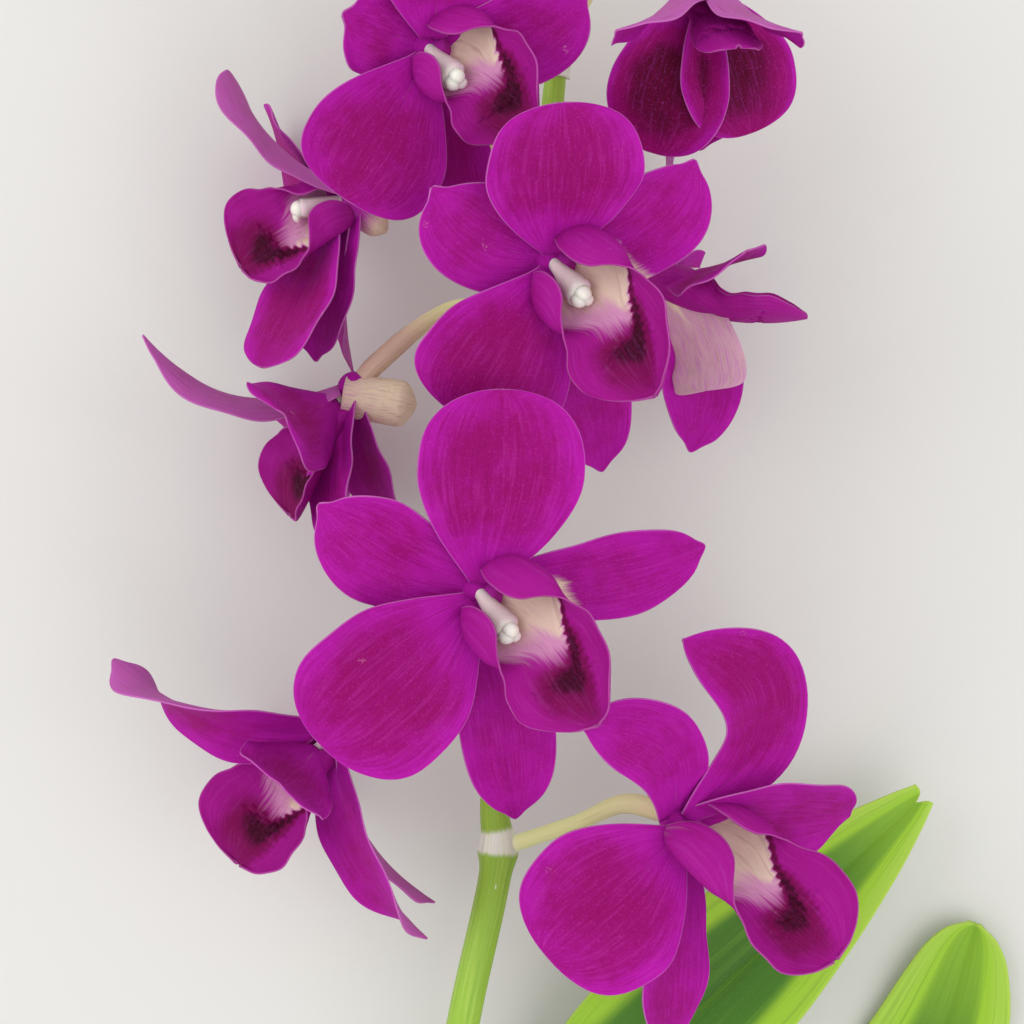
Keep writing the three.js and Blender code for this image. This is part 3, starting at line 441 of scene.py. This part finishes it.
def midrib(q, front, start, shares):
    # Cubic curve from the hub to the tip, bowed to the front and swept to the side, read at shares of its
    # length, with the blade's side and front directions, which roll and twist turn about the curve.
    aim = math.radians(q["aim"])
    tip = np.array([q["reach"] * math.cos(aim), q["reach"] * math.sin(aim), q["rise"]])
    root = unit(tip) * start + front * q.get("lift", 0)
    chord = tip - root
    long = np.linalg.norm(chord)
    along = chord / long
    toFront = unit(front - front.dot(along) * along)
    toSide = np.cross(toFront, along)
    roll = math.radians(q.get("roll", 0))
    toFront, toSide = (math.cos(roll) * toFront - math.sin(roll) * toSide,
                       math.cos(roll) * toSide + math.sin(roll) * toFront)
    push = (toFront * q.get("bow", 0) + toSide * q.get("sweep", 0)) * long * 4 / 3
    u = np.linspace(0, 1, 200)[:, None]
    line = ((1 - u) ** 3 * root + 3 * (1 - u) ** 2 * u * (root + chord / 3 + push)
            + 3 * (1 - u) * u**2 * (root + chord * 2 / 3 + push) + u**3 * tip)
    run = np.concatenate([[0], np.cumsum(np.linalg.norm(np.diff(line, axis=0), axis=1))])
    tangent = np.gradient(line, run, axis=0)
    line, tangent = (np.stack([np.interp(shares * run[-1], run, a[:, k]) for k in range(3)], -1)
                     for a in (line, tangent))
    tangent = unit(tangent)
    side = unit(np.cross(toFront, tangent))
    face = np.cross(tangent, side)
    turn = np.radians(q.get("twist", 0) * shares + q.get("twistTip", 0) * shares**3)[:, None]
    side, face = np.cos(turn) * side + np.sin(turn) * face, np.cos(turn) * face - np.sin(turn) * side
    return line, side, face, run[-1]


def crossSurface(line, side, face, half, bend, v):
    # Each row is an arc: x = half sin(bend v) / bend to the side, z = half (1 - cos(bend v)) / bend in front.
    x = half[:, None] * np.sin(bend[:, None] * v) / bend[:, None]
    z = half[:, None] * (1 - np.cos(bend[:, None] * v)) / bend[:, None]
    return line[:, None] + x[..., None] * side[:, None] + z[..., None] * face[:, None]


tepalMade = {"rows": 54, "columns": 31, "thick": 0.62, "margin": 0.24, "root": 1.9, "wobble": 0.012,
             "groove": 0.35, "grooveWide": 0.8, "ruffle": 0.45, "ruffles": 2.3, "beakWide": 1.3,
             "streak": 0.28}


def tepalLayer(q, front, chance):
    # Petal or sepal: arcs along its midrib, with a wavy margin, a groove, and a beak at a sepal's tip.
    made = tepalMade
    t = 1 - (1 - np.linspace(0, 1, made["rows"])) ** 1.6
    v = np.sin(np.linspace(-1, 1, made["columns"]) * np.pi / 2)  # closer together at the margins
    line, side, face, long = midrib(q, front, made["root"], t)
    half = np.maximum(q["wide"] / 2 * widthShare(t, q), 0.3)
    half = half * (1 + made["wobble"] * np.sin(11 * t + 40 * chance) * smoothStep(0.2, 0.5, t))
    bend = q["cup"] + (q["cupTip"] - q["cup"]) * t
    line = line + (q.get("skew", 0) * half * np.sin(np.pi * t))[:, None] * side
    surface = crossSurface(line, side, face, half, bend, v)
    T, V = np.meshgrid(t, v, indexing="ij")
    across = half[:, None] * V
    lift = made["ruffle"] * np.abs(V) ** 3 * np.sin(2 * np.pi * (made["ruffles"] * T + 0.3 * V + 3 * chance))
    lift = lift * smoothStep(0.15, 0.5, T) * smoothStep(1.0, 0.9, T)
    groove = hill(across, 0, made["grooveWide"]) * smoothStep(0.0, 0.15, T) * (1 - 0.75 * T)
    lift = lift - made["groove"] * groove
    surface = surface + lift[..., None] * face[:, None]
    beak = q["beak"] * hill(across, 0, made["beakWide"]) * smoothStep(0.93, 1, T)
    surface = surface + beak[..., None] * unit(np.gradient(line, axis=0))[:, None]
    thick = made["margin"] + (made["thick"] - made["margin"]) * (1 - np.abs(V) ** 5)
    thick = thick * (1 - 0.4 * smoothStep(0.9, 1, T))
    edge = np.minimum(half[:, None] * (1 - np.abs(V)), (1 - T) * long)
    # deep in the middle, and where dark goes above 1, as on bloom_9, painted shade that reaches the darkest
    # tone;
    # pale on the midrib's foot and, on some sepals, in a cream strip beside the lip
    deep = q["dark"] * hill(T, 0.58, 0.5) * (1 - np.abs(V) ** 3) * smoothStep(0.05, 0.4, T)
    streak = made["streak"] * hill(across, 0, 0.5) * smoothStep(0.02, 0.1, T) * smoothStep(0.55, 0.2, T)
    cream = q.get("cream", 0) * smoothStep(0.43, 0.26, T + 0.012 * across) * smoothStep(0.6, 0.0, V)
    pale = q.get("bleach", 0) + streak + cream + 0.2 * smoothStep(0.1, 0.0, T)
    back = bothFaces(0 * T, 0 * T + q["back"])
    return layer(sheetRings(surface, thick), bothFaces((V + 1) / 2), bothFaces(T), chance=chance, back=back,
                 deep=bothFaces(deep, 0.7 * deep), pale=bothFaces(pale), edge=bothFaces(edge))


def ball(centre, axis, long, wide, **marks):
    # Ellipsoid as a tube: radius = wide sqrt(1 - s^2) for s from -1 to 1 along its axis.
    s = -np.cos(np.linspace(0.06, np.pi - 0.06, 13))
    line = np.asarray(centre) + s[:, None] * long * unit(np.asarray(axis, float))
    front = unit(np.cross(axis, np.roll(unit(np.asarray(axis, float)), 1) + (0.1, 0.2, 0.3)))
    rings = tubeRings(line, wide * np.sqrt(1 - s**2), wide * np.sqrt(1 - s**2), 20, front)
    across, along = tubeLay(rings)
    return layer(rings, across, along, **marks)


def chinLayer(b):
    # Chin under the lip: a cone from the hub whose end is rounded.
    back = unit(-0.62 * b["face"] - 0.78 * b["up"])
    chin = b.get("chin", chinMade)
    s = 1 - (1 - np.linspace(0, 1, 18)) ** 1.8
    end = np.sqrt(np.clip(1 - smoothStep(0.7, 1.02, s) ** 2, 0, 1))
    radius = (chin["root"] + (chin["end"] - chin["root"]) * s) * end
    line = s[:, None] * chin["long"] * back
    rings = tubeRings(line, radius, radius * 0.95, 22, np.cross(back, b["face"]))
    across, along = tubeLay(rings)
    pale = chin["pale"] + 0.75 * smoothStep(0.0, 1.0, along)
    return layer(rings, across, along, pale=pale, back=0.3, chance=0.5)


# The lip along its midrib: half its width, how high its edges stand, and how far they curl, in degrees.
lipWide = [(0, 3.2), (0.07, 6.0), (0.18, 7.8), (0.34, 8.4), (0.45, 7.6), (0.52, 8.4), (0.62, 9.8),
           (0.73, 10.2), (0.83, 9.4), (0.92, 7.0), (0.975, 4), (1, 0.6)]
lipHigh = [(0, 3.5), (0.08, 6.5), (0.22, 8.0), (0.38, 7.2), (0.46, 5.0), (0.53, 4.2), (0.64, 4.6),
           (0.8, 4.4), (0.92, 2.8), (1, 0.8)]
lipCurl = [(0, 120), (0.08, 150), (0.2, 165), (0.36, 158), (0.44, 120), (0.5, 84), (0.62, 64), (0.8, 56),
           (1, 40)]
lipMade = {"rows": 96, "columns": 61, "thick": 0.6, "margin": 0.25, "keel": 0.3, "keelWide": 0.6,
           "keelApart": 1.9, "warts": 60, "wartsAt": 0.71, "wartsLong": 0.025, "wartsWide": 2.2,
           "wartHigh": 0.6, "wartWide": 0.33, "frill": 0.2, "frillWaves": 5}
# the throat's end on the midrib, how many mm it fades over at its left and right, and its torn teeth's size
throatMade = {"end": 0.66, "fadeLeft": 16.0, "fadeRight": 2.0, "teeth": 0.9, "teethTurn": 5.2}


def lipLayer(b, chance):
    made, throats = lipMade, throatMade
    q = {"bow": 0.07, "lift": -3.0, "size": 1, **b["lip"]}
    inside = lean(*q["inside"]) if "inside" in q else unit(b["face"] + 0.9 * b["up"])
    t = 1 - (1 - np.linspace(0, 1, made["rows"])) ** 1.3
    v = np.linspace(-1, 1, made["columns"])
    line, side, face, long = midrib(q, inside, 0, t)
    # each row: x = half sin(curl v) / sin(curl, 90 at most), z = high (1 - cos(curl v)) / (1 - cos(curl))
    lobes = 1 - (1 - q.get("lobes", 1)) * smoothStep(0.52, 0.3, t)
    half = np.maximum(curveValue(lipWide, t) * q["size"] * lobes, 0.3)
    high = curveValue(lipHigh, t) * q["size"] * lobes
    curl = np.radians(curveValue(lipCurl, t))
    x = (half / np.sin(np.minimum(curl, np.pi / 2)))[:, None] * np.sin(curl[:, None] * v)
    z = (high / (1 - np.cos(curl)))[:, None] * (1 - np.cos(curl[:, None] * v))
    surface = line[:, None] + x[..., None] * side[:, None] + z[..., None] * face[:, None]
    T, V = np.meshgrid(t, v, indexing="ij")
    across = half[:, None] * V
    out = unit(np.cross(np.gradient(surface, axis=0), np.gradient(surface, axis=1)))
    if (out[:, made["columns"] // 2] * face).sum() < 0:
        out = -out
    # frilled mid-lobe margin, three keels down the throat, and warts on the crest in front of them
    frill = made["frill"] * np.abs(V) ** 4 * np.sin(2 * np.pi * (made["frillWaves"] * T + 2 * chance))
    lift = frill * smoothStep(0.45, 0.6, T) * smoothStep(1.0, 0.95, T)
    window = smoothStep(0.08, 0.2, T) * smoothStep(0.56, 0.46, T)
    keels = hill(across, 0, made["keelWide"]) + hill(np.abs(across), made["keelApart"], made["keelWide"])
    lift = lift + made["keel"] * window * keels
    draw = np.random.default_rng(int(chance * 1000) + 7)
    wartT = draw.normal(made["wartsAt"], made["wartsLong"], made["warts"])
    wartX = draw.normal(0, made["wartsWide"], made["warts"])
    apart = np.sqrt(((T[..., None] - wartT) * long) ** 2 + (across[..., None] - wartX) ** 2)
    lift = lift + made["wartHigh"] * np.exp(-((apart / made["wartWide"]) ** 2)).max(-1)
    surface = surface + lift[..., None] * out
    thick = made["margin"] + (made["thick"] - made["margin"]) * (1 - np.abs(V) ** 6) + 0 * T
    edge = np.minimum(half[:, None] * (1 - np.abs(V)), (1 - T) * long)
    # the pale throat narrows to a point on the midrib, and past is how many mm a place lies beyond its end:
    # it fades out softly on the left, and is torn on the right, where a dark hollow lies beside it
    past = (T - throats["end"] + np.where(across > 0, 0.02 * across**2, -0.015 * across)) * long
    teeth = np.sin(throats["teethTurn"] * T * long + 9 * chance) * smoothStep(1.0, 2.6, across)
    past = past + throats["teeth"] * teeth
    fade = throats["fadeLeft"] + (throats["fadeRight"] - throats["fadeLeft"]) * smoothStep(-1.0, 2.5, across)
    throat = 1.6 * np.clip(0.15 - past / fade, 0, 1) * smoothStep(0.75, 0.1, -V) * smoothStep(0.8, 0.65, V)
    # hollow: the crest's own dark crimson, deepened by painted shade in the recess past the throat, into the
    # darkest tone
    hollow = 1.6 * hill(past, 2.2, 2.6) * smoothStep(-6.0, 0.0, across) * smoothStep(8.0, 4.5, across)
    blush = 0.9 * hill(past, 5.5, 5.5) * smoothStep(9.0, 3.5, np.abs(across)) * smoothStep(0.5, 0.6, T)
    deep = bothFaces(hollow + blush, 0.25 * hill(T, 0.62, 0.2))
    pale = bothFaces(throat, 0.35 * smoothStep(0.2, 0.0, T))
    back = bothFaces(0 * T, 0 * T + 1)
    return layer(sheetRings(surface, thick), bothFaces((V + 1) / 2), bothFaces(T), chance=chance, back=back,
                 deep=deep, pale=pale, edge=bothFaces(edge))


columnMade = {"root": 0.9, "grows": 1.35, "behind": 0.15, "runs": 1.08, "wing": 0.12, "hollow": 0.45,
              "capLong": 1.4, "capWide": 1.45, "capApart": 0.5, "beakLong": 0.7, "beakWide": 1.0}


def columnLayers(b):
    # Column: a rod that widens from its root, its front hollow and winged near the end, under a cap of two
    # lobes with a small beak.
    q, made = b["column"], columnMade
    aim = math.radians(q["aim"])
    tip = np.array([q["reach"] * math.cos(aim), q["reach"] * math.sin(aim), q["rise"]])
    way, long = unit(tip), np.linalg.norm(tip)
    roof = unit(b["up"] + 0.2 * b["face"] - (b["up"] + 0.2 * b["face"]).dot(way) * way)
    wing = np.cross(way, roof)
    s = np.linspace(0, 1, 22)
    a = np.linspace(0, 2 * np.pi, 28, endpoint=False)
    body = made["root"] + made["grows"] * smoothStep(0.0, 0.95, s)
    end = np.sqrt(np.clip(1 - smoothStep(0.82, 1.0, s) ** 2, 0.04, 1))
    wide = (body * end)[:, None] * (1 + made["wing"] * np.cos(a) ** 4 * smoothStep(0.3, 0.8, s)[:, None])
    hollow = 1 - made["hollow"] * np.clip(-np.sin(a), 0, 1) ** 2 * smoothStep(0.2, 0.5, s)[:, None]
    line = (made["runs"] * s[:, None] - made["behind"]) * long * way
    rings = tubeRings(line, wide, wide * 0.95 * hollow, 28, roof)
    across, along = tubeLay(rings)
    violet = 0.45 * hill(across, 0.0, 0.3) * along
    layers = [layer(rings, across, along, deep=violet, pale=0.5 * (1 - along))]
    cap = tip - way * 1.3 + roof * 0.4
    for turn in (-1, 1):
        lobe = cap + wing * made["capApart"] * turn
        layers.append(ball(lobe, way, made["capLong"], made["capWide"], pale=1))
    layers.append(ball(tip - way * 0.6 - roof * 0.7, way, made["beakLong"], made["beakWide"], pale=0.4))
    return layers


stemLine = [(-18.6, -142, 11), (-15.4, -126, 14.5), (-8, -85, 20), (-2.3, -56.7, 22), (-2.9, -50, 22.4),
            (0, -14, 22.5), (4.2, 36, 22.5), (7.2, 72, 22), (10.5, 100, 22), (15, 124, 23)]


def stemPlace(y):  # point and direction of the stem's middle line where it passes y
    line = smoothPath(stemLine, np.linspace(0, 1, 1200))
    k = int(np.searchsorted(line[:, 1], y))
    return line[k], unit(line[k + 1] - line[k - 1])


pedicelMade = {"radius": [(0, 1.35), (0.5, 1.35), (0.8, 1.75), (1, 1.6)], "grooves": 6, "groove": 0.07,
               "turns": 5, "meets": 2.9, "blush": 0.5}


def pedicelLayers(b):
    # Tube through its places from the stem to the hub, thicker at the ovary, which has twisted grooves.
    q = {**pedicelMade, **b["pedicel"]}
    points = [stemPlace(q["leaves"])[0], *q["via"], b["at"] - q["meets"] * b["face"]]
    s = np.linspace(0, 1, 44)
    line = smoothPath(points, s)
    a = np.linspace(0, 2 * np.pi, 30, endpoint=False)
    radius = curveValue(q["radius"], s)[:, None]
    grooves = smoothStep(0.5, 0.75, s)[:, None] * np.cos(q["grooves"] * a + q["turns"] * s[:, None]) ** 2
    radius = radius * (1 - q["groove"] * grooves)
    rings = tubeRings(line, radius, radius, 30)
    across, along = tubeLay(rings)
    deep = q["blush"] * smoothStep(0.2, 0.9, along)
    return [layer(rings, across, along, deep=deep, pale=0.7 * smoothStep(0.25, 0.0, along))]


def movedBy(layers, at):
    return [{**part, "rings": part["rings"] + at} for part in layers]


for number, b in enumerate(blooms):
    chances = [((number * 5 + k) * 0.618) % 1 for k in range(5)]
    hub = ball(-hubMade["behind"] * b["face"], b["face"], hubMade["radius"], hubMade["radius"], pale=0.1)
    perianth = [tepalLayer(q, b["face"], c) for q, c in zip(b["tepals"], chances)] + [hub, chinLayer(b)]
    node, title = b["name"], b["name"].replace("_", "")
    makePiece(title + "Tepals", movedBy(perianth, b["at"]), skins["petal"], "petal", node + "_petals")
    lip = movedBy([lipLayer(b, chances[2])], b["at"])
    makePiece(title + "Lip", lip, skins["lip"], "lip", node + "_lip")
    rod = movedBy(columnLayers(b), b["at"])
    makePiece(title + "Column", rod, skins["column"], "column", node + "_column")
    makePiece(title + "Pedicel", pedicelLayers(b), skins["pedicel"], "pedicel", node + "_pedicel")
print("blooms made")


# The stem, the cane that it grew from, and the leaves and buds.

stemMade = {"low": 2.9, "node": 2.45, "tip": 1.1, "swell": 0.9, "nodeAt": -56.7}
bractMade = {"before": 6.2, "long": 4.2, "halfWide": 2.4, "off": 1.75, "flare": 1.6, "wrap": 0.7}
buds = [
    {"name": "bud_1", "leaves": 93, "long": 15, "wide": 8.5, "tip": (24, 114, 29)},
    {"name": "bud_2", "leaves": 102, "long": 13.5, "wide": 7.6, "tip": (-7, 119, 27)},
    {"name": "bud_3", "leaves": 110, "long": 11.5, "wide": 6.4, "tip": (24, 130, 25)},
    {"name": "bud_4", "leaves": 117, "long": 9.5, "wide": 5.2, "tip": (4, 133, 24)},
]


def stemLayers():
    # Round rod, ridged, tapering in two runs from the foot to the node and from the node to the tip.
    s = np.linspace(0, 1, 420)
    line = smoothPath(stemLine, s)
    long = np.linalg.norm(np.diff(line, axis=0), axis=1).sum()
    node = s[int(np.searchsorted(line[:, 1], stemMade["nodeAt"]))]
    lower = stemMade["low"] + (stemMade["node"] + 0.25 - stemMade["low"]) * s / node
    above = np.clip((s - node) / (1 - node), 0, 1)
    upper = stemMade["node"] + (stemMade["tip"] - stemMade["node"]) * above ** 2.2
    radius = np.where(s < node, lower, upper) + stemMade["swell"] * hill((s - node) * long, 0, 2.6)
    a = np.linspace(0, 2 * np.pi, 40, endpoint=False)
    radius = radius[:, None] * (1 + 0.012 * np.cos(9 * a) + 0.006 * np.cos(17 * a + 1))
    rings = tubeRings(line, radius, radius, 40, np.array([0.0, 0.0, 1.0]))
    across, along = tubeLay(rings)
    ring = hill((along - node) * long, 1.2, 2.0)
    return [layer(rings, across, along, pale=1.2 * ring, deep=0.3 * (1 - along))]


def bractLayer(leavesAt, toward):
    # Small papery scale: rows along the stem, halfWide (1 - t^2) to each side, that lift off toward its point.
    made = bractMade
    foot, _ = stemPlace(leavesAt - made["before"])
    _, along = stemPlace(leavesAt)
    out = np.array(toward, float) - foot
    out = unit(out - out.dot(along) * along)
    side = np.cross(along, out)
    T, V = np.meshgrid(np.linspace(0, 1, 12), np.linspace(-1, 1, 13), indexing="ij")
    half = np.maximum(made["halfWide"] * (1 - T**2), 0.15)
    high = made["off"] + made["flare"] * T**2 - made["wrap"] * V**2
    surface = (foot + (made["long"] * T)[..., None] * along + high[..., None] * out
               + (V * half)[..., None] * side)
    rings = sheetRings(surface, 0.45 - 0.2 * T)
    return layer(rings, bothFaces((V + 1) / 2), bothFaces(T), pale=0.75, edge=3.0)


starts = [(b["pedicel"]["leaves"], b["pedicel"]["via"][0]) for b in blooms]
starts += [(row["leaves"], row["tip"]) for row in buds]
makePiece("flowerStem", stemLayers() + [bractLayer(*s) for s in starts], skins["stem"], "stem", "stem")

caneLine = [(-29.5, -191, 6.4), (-25, -172, 6.4), (-19.5, -146, 6.5), (-14.5, -127, 7), (-12, -119, 7.5)]
caneMade = {"radius": 6.2, "greatest": 6.35, "sheaths": (0.3, 0.58, 0.82), "sheathHigh": 0.5, "ribs": 14,
            "rib": 0.012}


def caneLayer():
    # Round rod that closes in a dome at its top; each sheath ends in a step, and fine ribs run along it.
    made = caneMade
    s = np.linspace(0, 1, 150)
    dome = np.sqrt(np.clip(1 - np.clip((s - 0.62) / 0.44, 0, 1) ** 2.4, 0.05, 1))
    steps = sum(hill(s, at, 0.02) * smoothStep(at + 0.03, at, s) for at in made["sheaths"])
    radius = np.minimum(made["radius"] * dome + made["sheathHigh"] * steps, made["greatest"])
    a = np.linspace(0, 2 * np.pi, 56, endpoint=False)
    radius = radius[:, None] * (1 - made["rib"] * np.cos(made["ribs"] * a) ** 2)
    rings = tubeRings(smoothPath(caneLine, s), radius, radius, 56, np.array([0.0, 0.0, 1.0]))
    across, along = tubeLay(rings)
    pale = 0.55 * sum(hill(along, at, 0.03) for at in made["sheaths"])
    return layer(rings, across, along, pale=pale, deep=0.4 * (1 - along))


makePiece("caneTop", [caneLayer()], skins["cane"], "cane", "cane")

# half a leaf's width along it, over the greatest half width: a tip with a notch, or a rounded one
leafNotched = [(0, 0.26), (0.06, 0.3), (0.22, 0.78), (0.42, 1), (0.6, 0.92), (0.75, 0.72), (0.88, 0.47),
               (0.96, 0.27), (1, 0.15)]
leafRounded = [(0, 0.26), (0.06, 0.3), (0.22, 0.78), (0.42, 1), (0.6, 0.98), (0.75, 0.91), (0.87, 0.77),
               (0.95, 0.54), (0.985, 0.32), (1, 0.08)]
leafMade = {"foldRoot": 1.3, "foldTip": 0.22, "foldShare": 0.35, "groove": 0.5, "grooveWide": 0.9}
leaves = [
    {"name": "leaf_1", "wide": 30, "outline": leafNotched, "notch": 1.9,
     "line": [(-7, -121.6, 9), (9, -107, 12.5), (36, -80, 14), (70.5, -48.2, 12.5)]},
    {"name": "leaf_2", "wide": 29, "outline": leafRounded, "notch": 0,
     "line": [(-12.8, -150, 6.2), (22, -140, 3.2), (54, -119, 0.2), (72.5, -96, 0.8), (80.5, -71.5, 4)]},
    {"name": "leaf_3", "wide": 28, "outline": leafRounded, "notch": 0,
     "line": [(-28.5, -152, 6.6), (-48, -141, 4.2), (-74, -125, 0.2), (-98, -106, 3.5)]},
]


def leafLayer(row, chance):
    # Strap leaf, folded at its base: rows are arcs whose bend eases from foldRoot to foldTip radians over the
    # first foldShare of its length, with a groove along the middle.
    made = leafMade
    t = 1 - (1 - np.linspace(0, 1, 120)) ** 1.15
    v = np.linspace(-1, 1, 41)
    line = smoothPath(row["line"], t)
    tangent = unit(np.gradient(line, axis=0))
    side = unit(np.cross((0, 0, 1), tangent))
    face = np.cross(tangent, side)
    half = row["wide"] / 2 * curveValue(row["outline"], t)
    opened = np.clip(t / made["foldShare"], 0, 1) ** 0.6
    bend = made["foldRoot"] + (made["foldTip"] - made["foldRoot"]) * opened
    surface = crossSurface(line, side, face, half, bend, v)
    T, V = np.meshgrid(t, v, indexing="ij")
    groove = made["groove"] * hill(half[:, None] * V, 0, made["grooveWide"]) * smoothStep(0.05, 0.2, T)
    notch = row["notch"] * hill(V, -0.1, 0.4) * smoothStep(0.95, 1, T)
    surface = surface - groove[..., None] * face[:, None] - notch[..., None] * tangent[:, None]
    thick = 0.4 + 0.6 * (1 - V**4) + 0 * T
    rings = sheetRings(surface, thick)
    rings[..., 2] = np.maximum(rings[..., 2], 0.02)  # it rests on the floor, not in it
    edge = np.minimum(half[:, None] * (1 - np.abs(V)), (1 - T) * 100)
    pale = smoothStep(0.35, 0.9, np.abs(V)) * smoothStep(0.1, 0.5, T) + 0.55 * smoothStep(0.55, 1, T)
    deep = 0.6 * (1 - np.abs(V)) * smoothStep(1, 0.5, T)
    return layer(rings, bothFaces((V + 1) / 2), bothFaces(T), pale=bothFaces(pale), deep=bothFaces(deep),
                 edge=bothFaces(edge), back=bothFaces(0 * T, 0 * T + 1), chance=chance)


for k, row in enumerate(leaves):
    title = row["name"].replace("_", "") + "Blade"
    makePiece(title, [leafLayer(row, 0.31 * k)], skins["leaf"], "leaf", row["name"])


def budLayers(row):
    # Stalk, an egg whose radius is wide/2 sin(pi s^0.75)^0.6 with three sepal seams, and the chin's spur.
    foot, tip = stemPlace(row["leaves"])[0], np.array(row["tip"], float)
    upward = np.array([0.0, 0.0, 1.0])
    way = unit(tip - foot)
    neck = tip - way * row["long"]
    s = np.linspace(0, 1, 40)
    stalkLine = smoothPath([foot, (foot + neck) / 2, neck + way * 2], s)
    stalk = tubeRings(stalkLine, 1.0 + 0 * s, 1.0 + 0 * s, 16, upward)
    a = np.linspace(0, 2 * np.pi, 36, endpoint=False)
    grow = np.linspace(0.01, 0.995, 40)
    radius = np.maximum(row["wide"] / 2 * np.sin(np.pi * grow**0.75) ** 0.6, 0.1)
    radius = radius[:, None] * (1 - 0.06 * np.clip(np.cos(3 * a), 0, 1) ** 8)
    egg = tubeRings(neck + grow[:, None] * row["long"] * way, radius, radius, 36, upward)
    quarter = row["long"] * 0.25
    spurWay = way * (-0.5 - quarter) - np.array([0, 0, row["wide"] * 0.42])
    spurLine = neck + way * quarter + s[:, None] * spurWay
    spurEnd = np.sqrt(np.clip(1 - smoothStep(0.75, 1.02, s) ** 2, 0.01, 1))
    spurRadius = row["wide"] * (0.3 - 0.14 * s) * spurEnd
    spur = tubeRings(spurLine, spurRadius, spurRadius, 20, np.cross(way, upward))
    eggPale = tubeLay(egg)[1] ** 3 * 0.5 + 0.25
    return [layer(stalk, *tubeLay(stalk), pale=0.9), layer(egg, *tubeLay(egg), pale=eggPale),
            layer(spur, *tubeLay(spur), pale=0.5)]


for row in buds:
    makePiece(row["name"].replace("_", "") + "Egg", budLayers(row), skins["bud"], "bud", row["name"])
print("stem, cane, leaves and buds made")


# A pale floor, a large window at the left, a soft fill, and the camera straight above.

floorMesh = bpy.data.meshes.new("floor")
reach = 3.0  # metres, half its side
floorMesh.from_pydata([(-reach, -reach, 0), (reach, -reach, 0), (reach, reach, 0), (-reach, reach, 0)], [],
                      [(0, 1, 2, 3)])
floor = bpy.data.objects.new("floor", floorMesh)
bpy.context.scene.collection.objects.link(floor)
# Painted plaster, rolled: a faint roller grain of about 3 mm. The eye gets an even, matt, pale grey.
plaster = bpy.data.materials.new("plasterRolled")
plaster.use_nodes = True
tree = plaster.node_tree
skin = tree.nodes["Principled BSDF"]
skin.inputs["Base Color"].default_value = linear("#dfdedb")
skin.inputs["Roughness"].default_value = 0.9
where = addNode(tree, "TexCoord", out="Object")
grain = addNode(tree, "TexNoise", {"Scale": 350.0, "Detail": 3.0}, {"Vector": where})
grainBump = addNode(tree, "Bump", {"Strength": 0.12, "Distance": 0.0005}, {"Height": grain})
tree.links.new(grainBump, skin.inputs["Normal"])
floorMesh.materials.append(plaster)


def areaLight(name, place, target, size, power, colour):
    light = bpy.data.lights.new(name, "AREA")
    light.shape, light.size, light.energy, light.color = "DISK", size, power, linear(colour)[:3]
    lamp = bpy.data.objects.new(name, light)
    lamp.location = place
    way = Vector(target) - Vector(place)
    lamp.rotation_euler = way.to_track_quat("-Z", "Y").to_euler()
    bpy.context.scene.collection.objects.link(lamp)


# place, target, size in metres, power in watts
areaLight("windowLight", (-1.2, 0.4, 1.0), (0, 0, 0), 1.5, 8.5, "#ffffff")
areaLight("roomFill", (0.8, -0.4, 1.4), (0, 0, 0), 1.6, 8.0, "#ffffff")
world = bpy.data.worlds.new("studio")
world.use_nodes = True
world.node_tree.nodes["Background"].inputs[0].default_value = linear("#f6f6f4")
world.node_tree.nodes["Background"].inputs[1].default_value = 0.87
bpy.context.scene.world = world
bpy.context.scene.view_settings.view_transform = "Standard"

lens = bpy.data.cameras.new("camera")
lens.sensor_width = 36.0
lens.lens = 36.0 * pixelFocal / pictureSide
lens.clip_start, lens.clip_end = 0.01, 20
camera = bpy.data.objects.new("camera", lens)
camera.location = ((np.array([0, 0, cameraHeight]) - middle) / 1000).tolist()
bpy.context.scene.collection.objects.link(camera)
bpy.context.scene.camera = camera
print("floor, light and camera made")
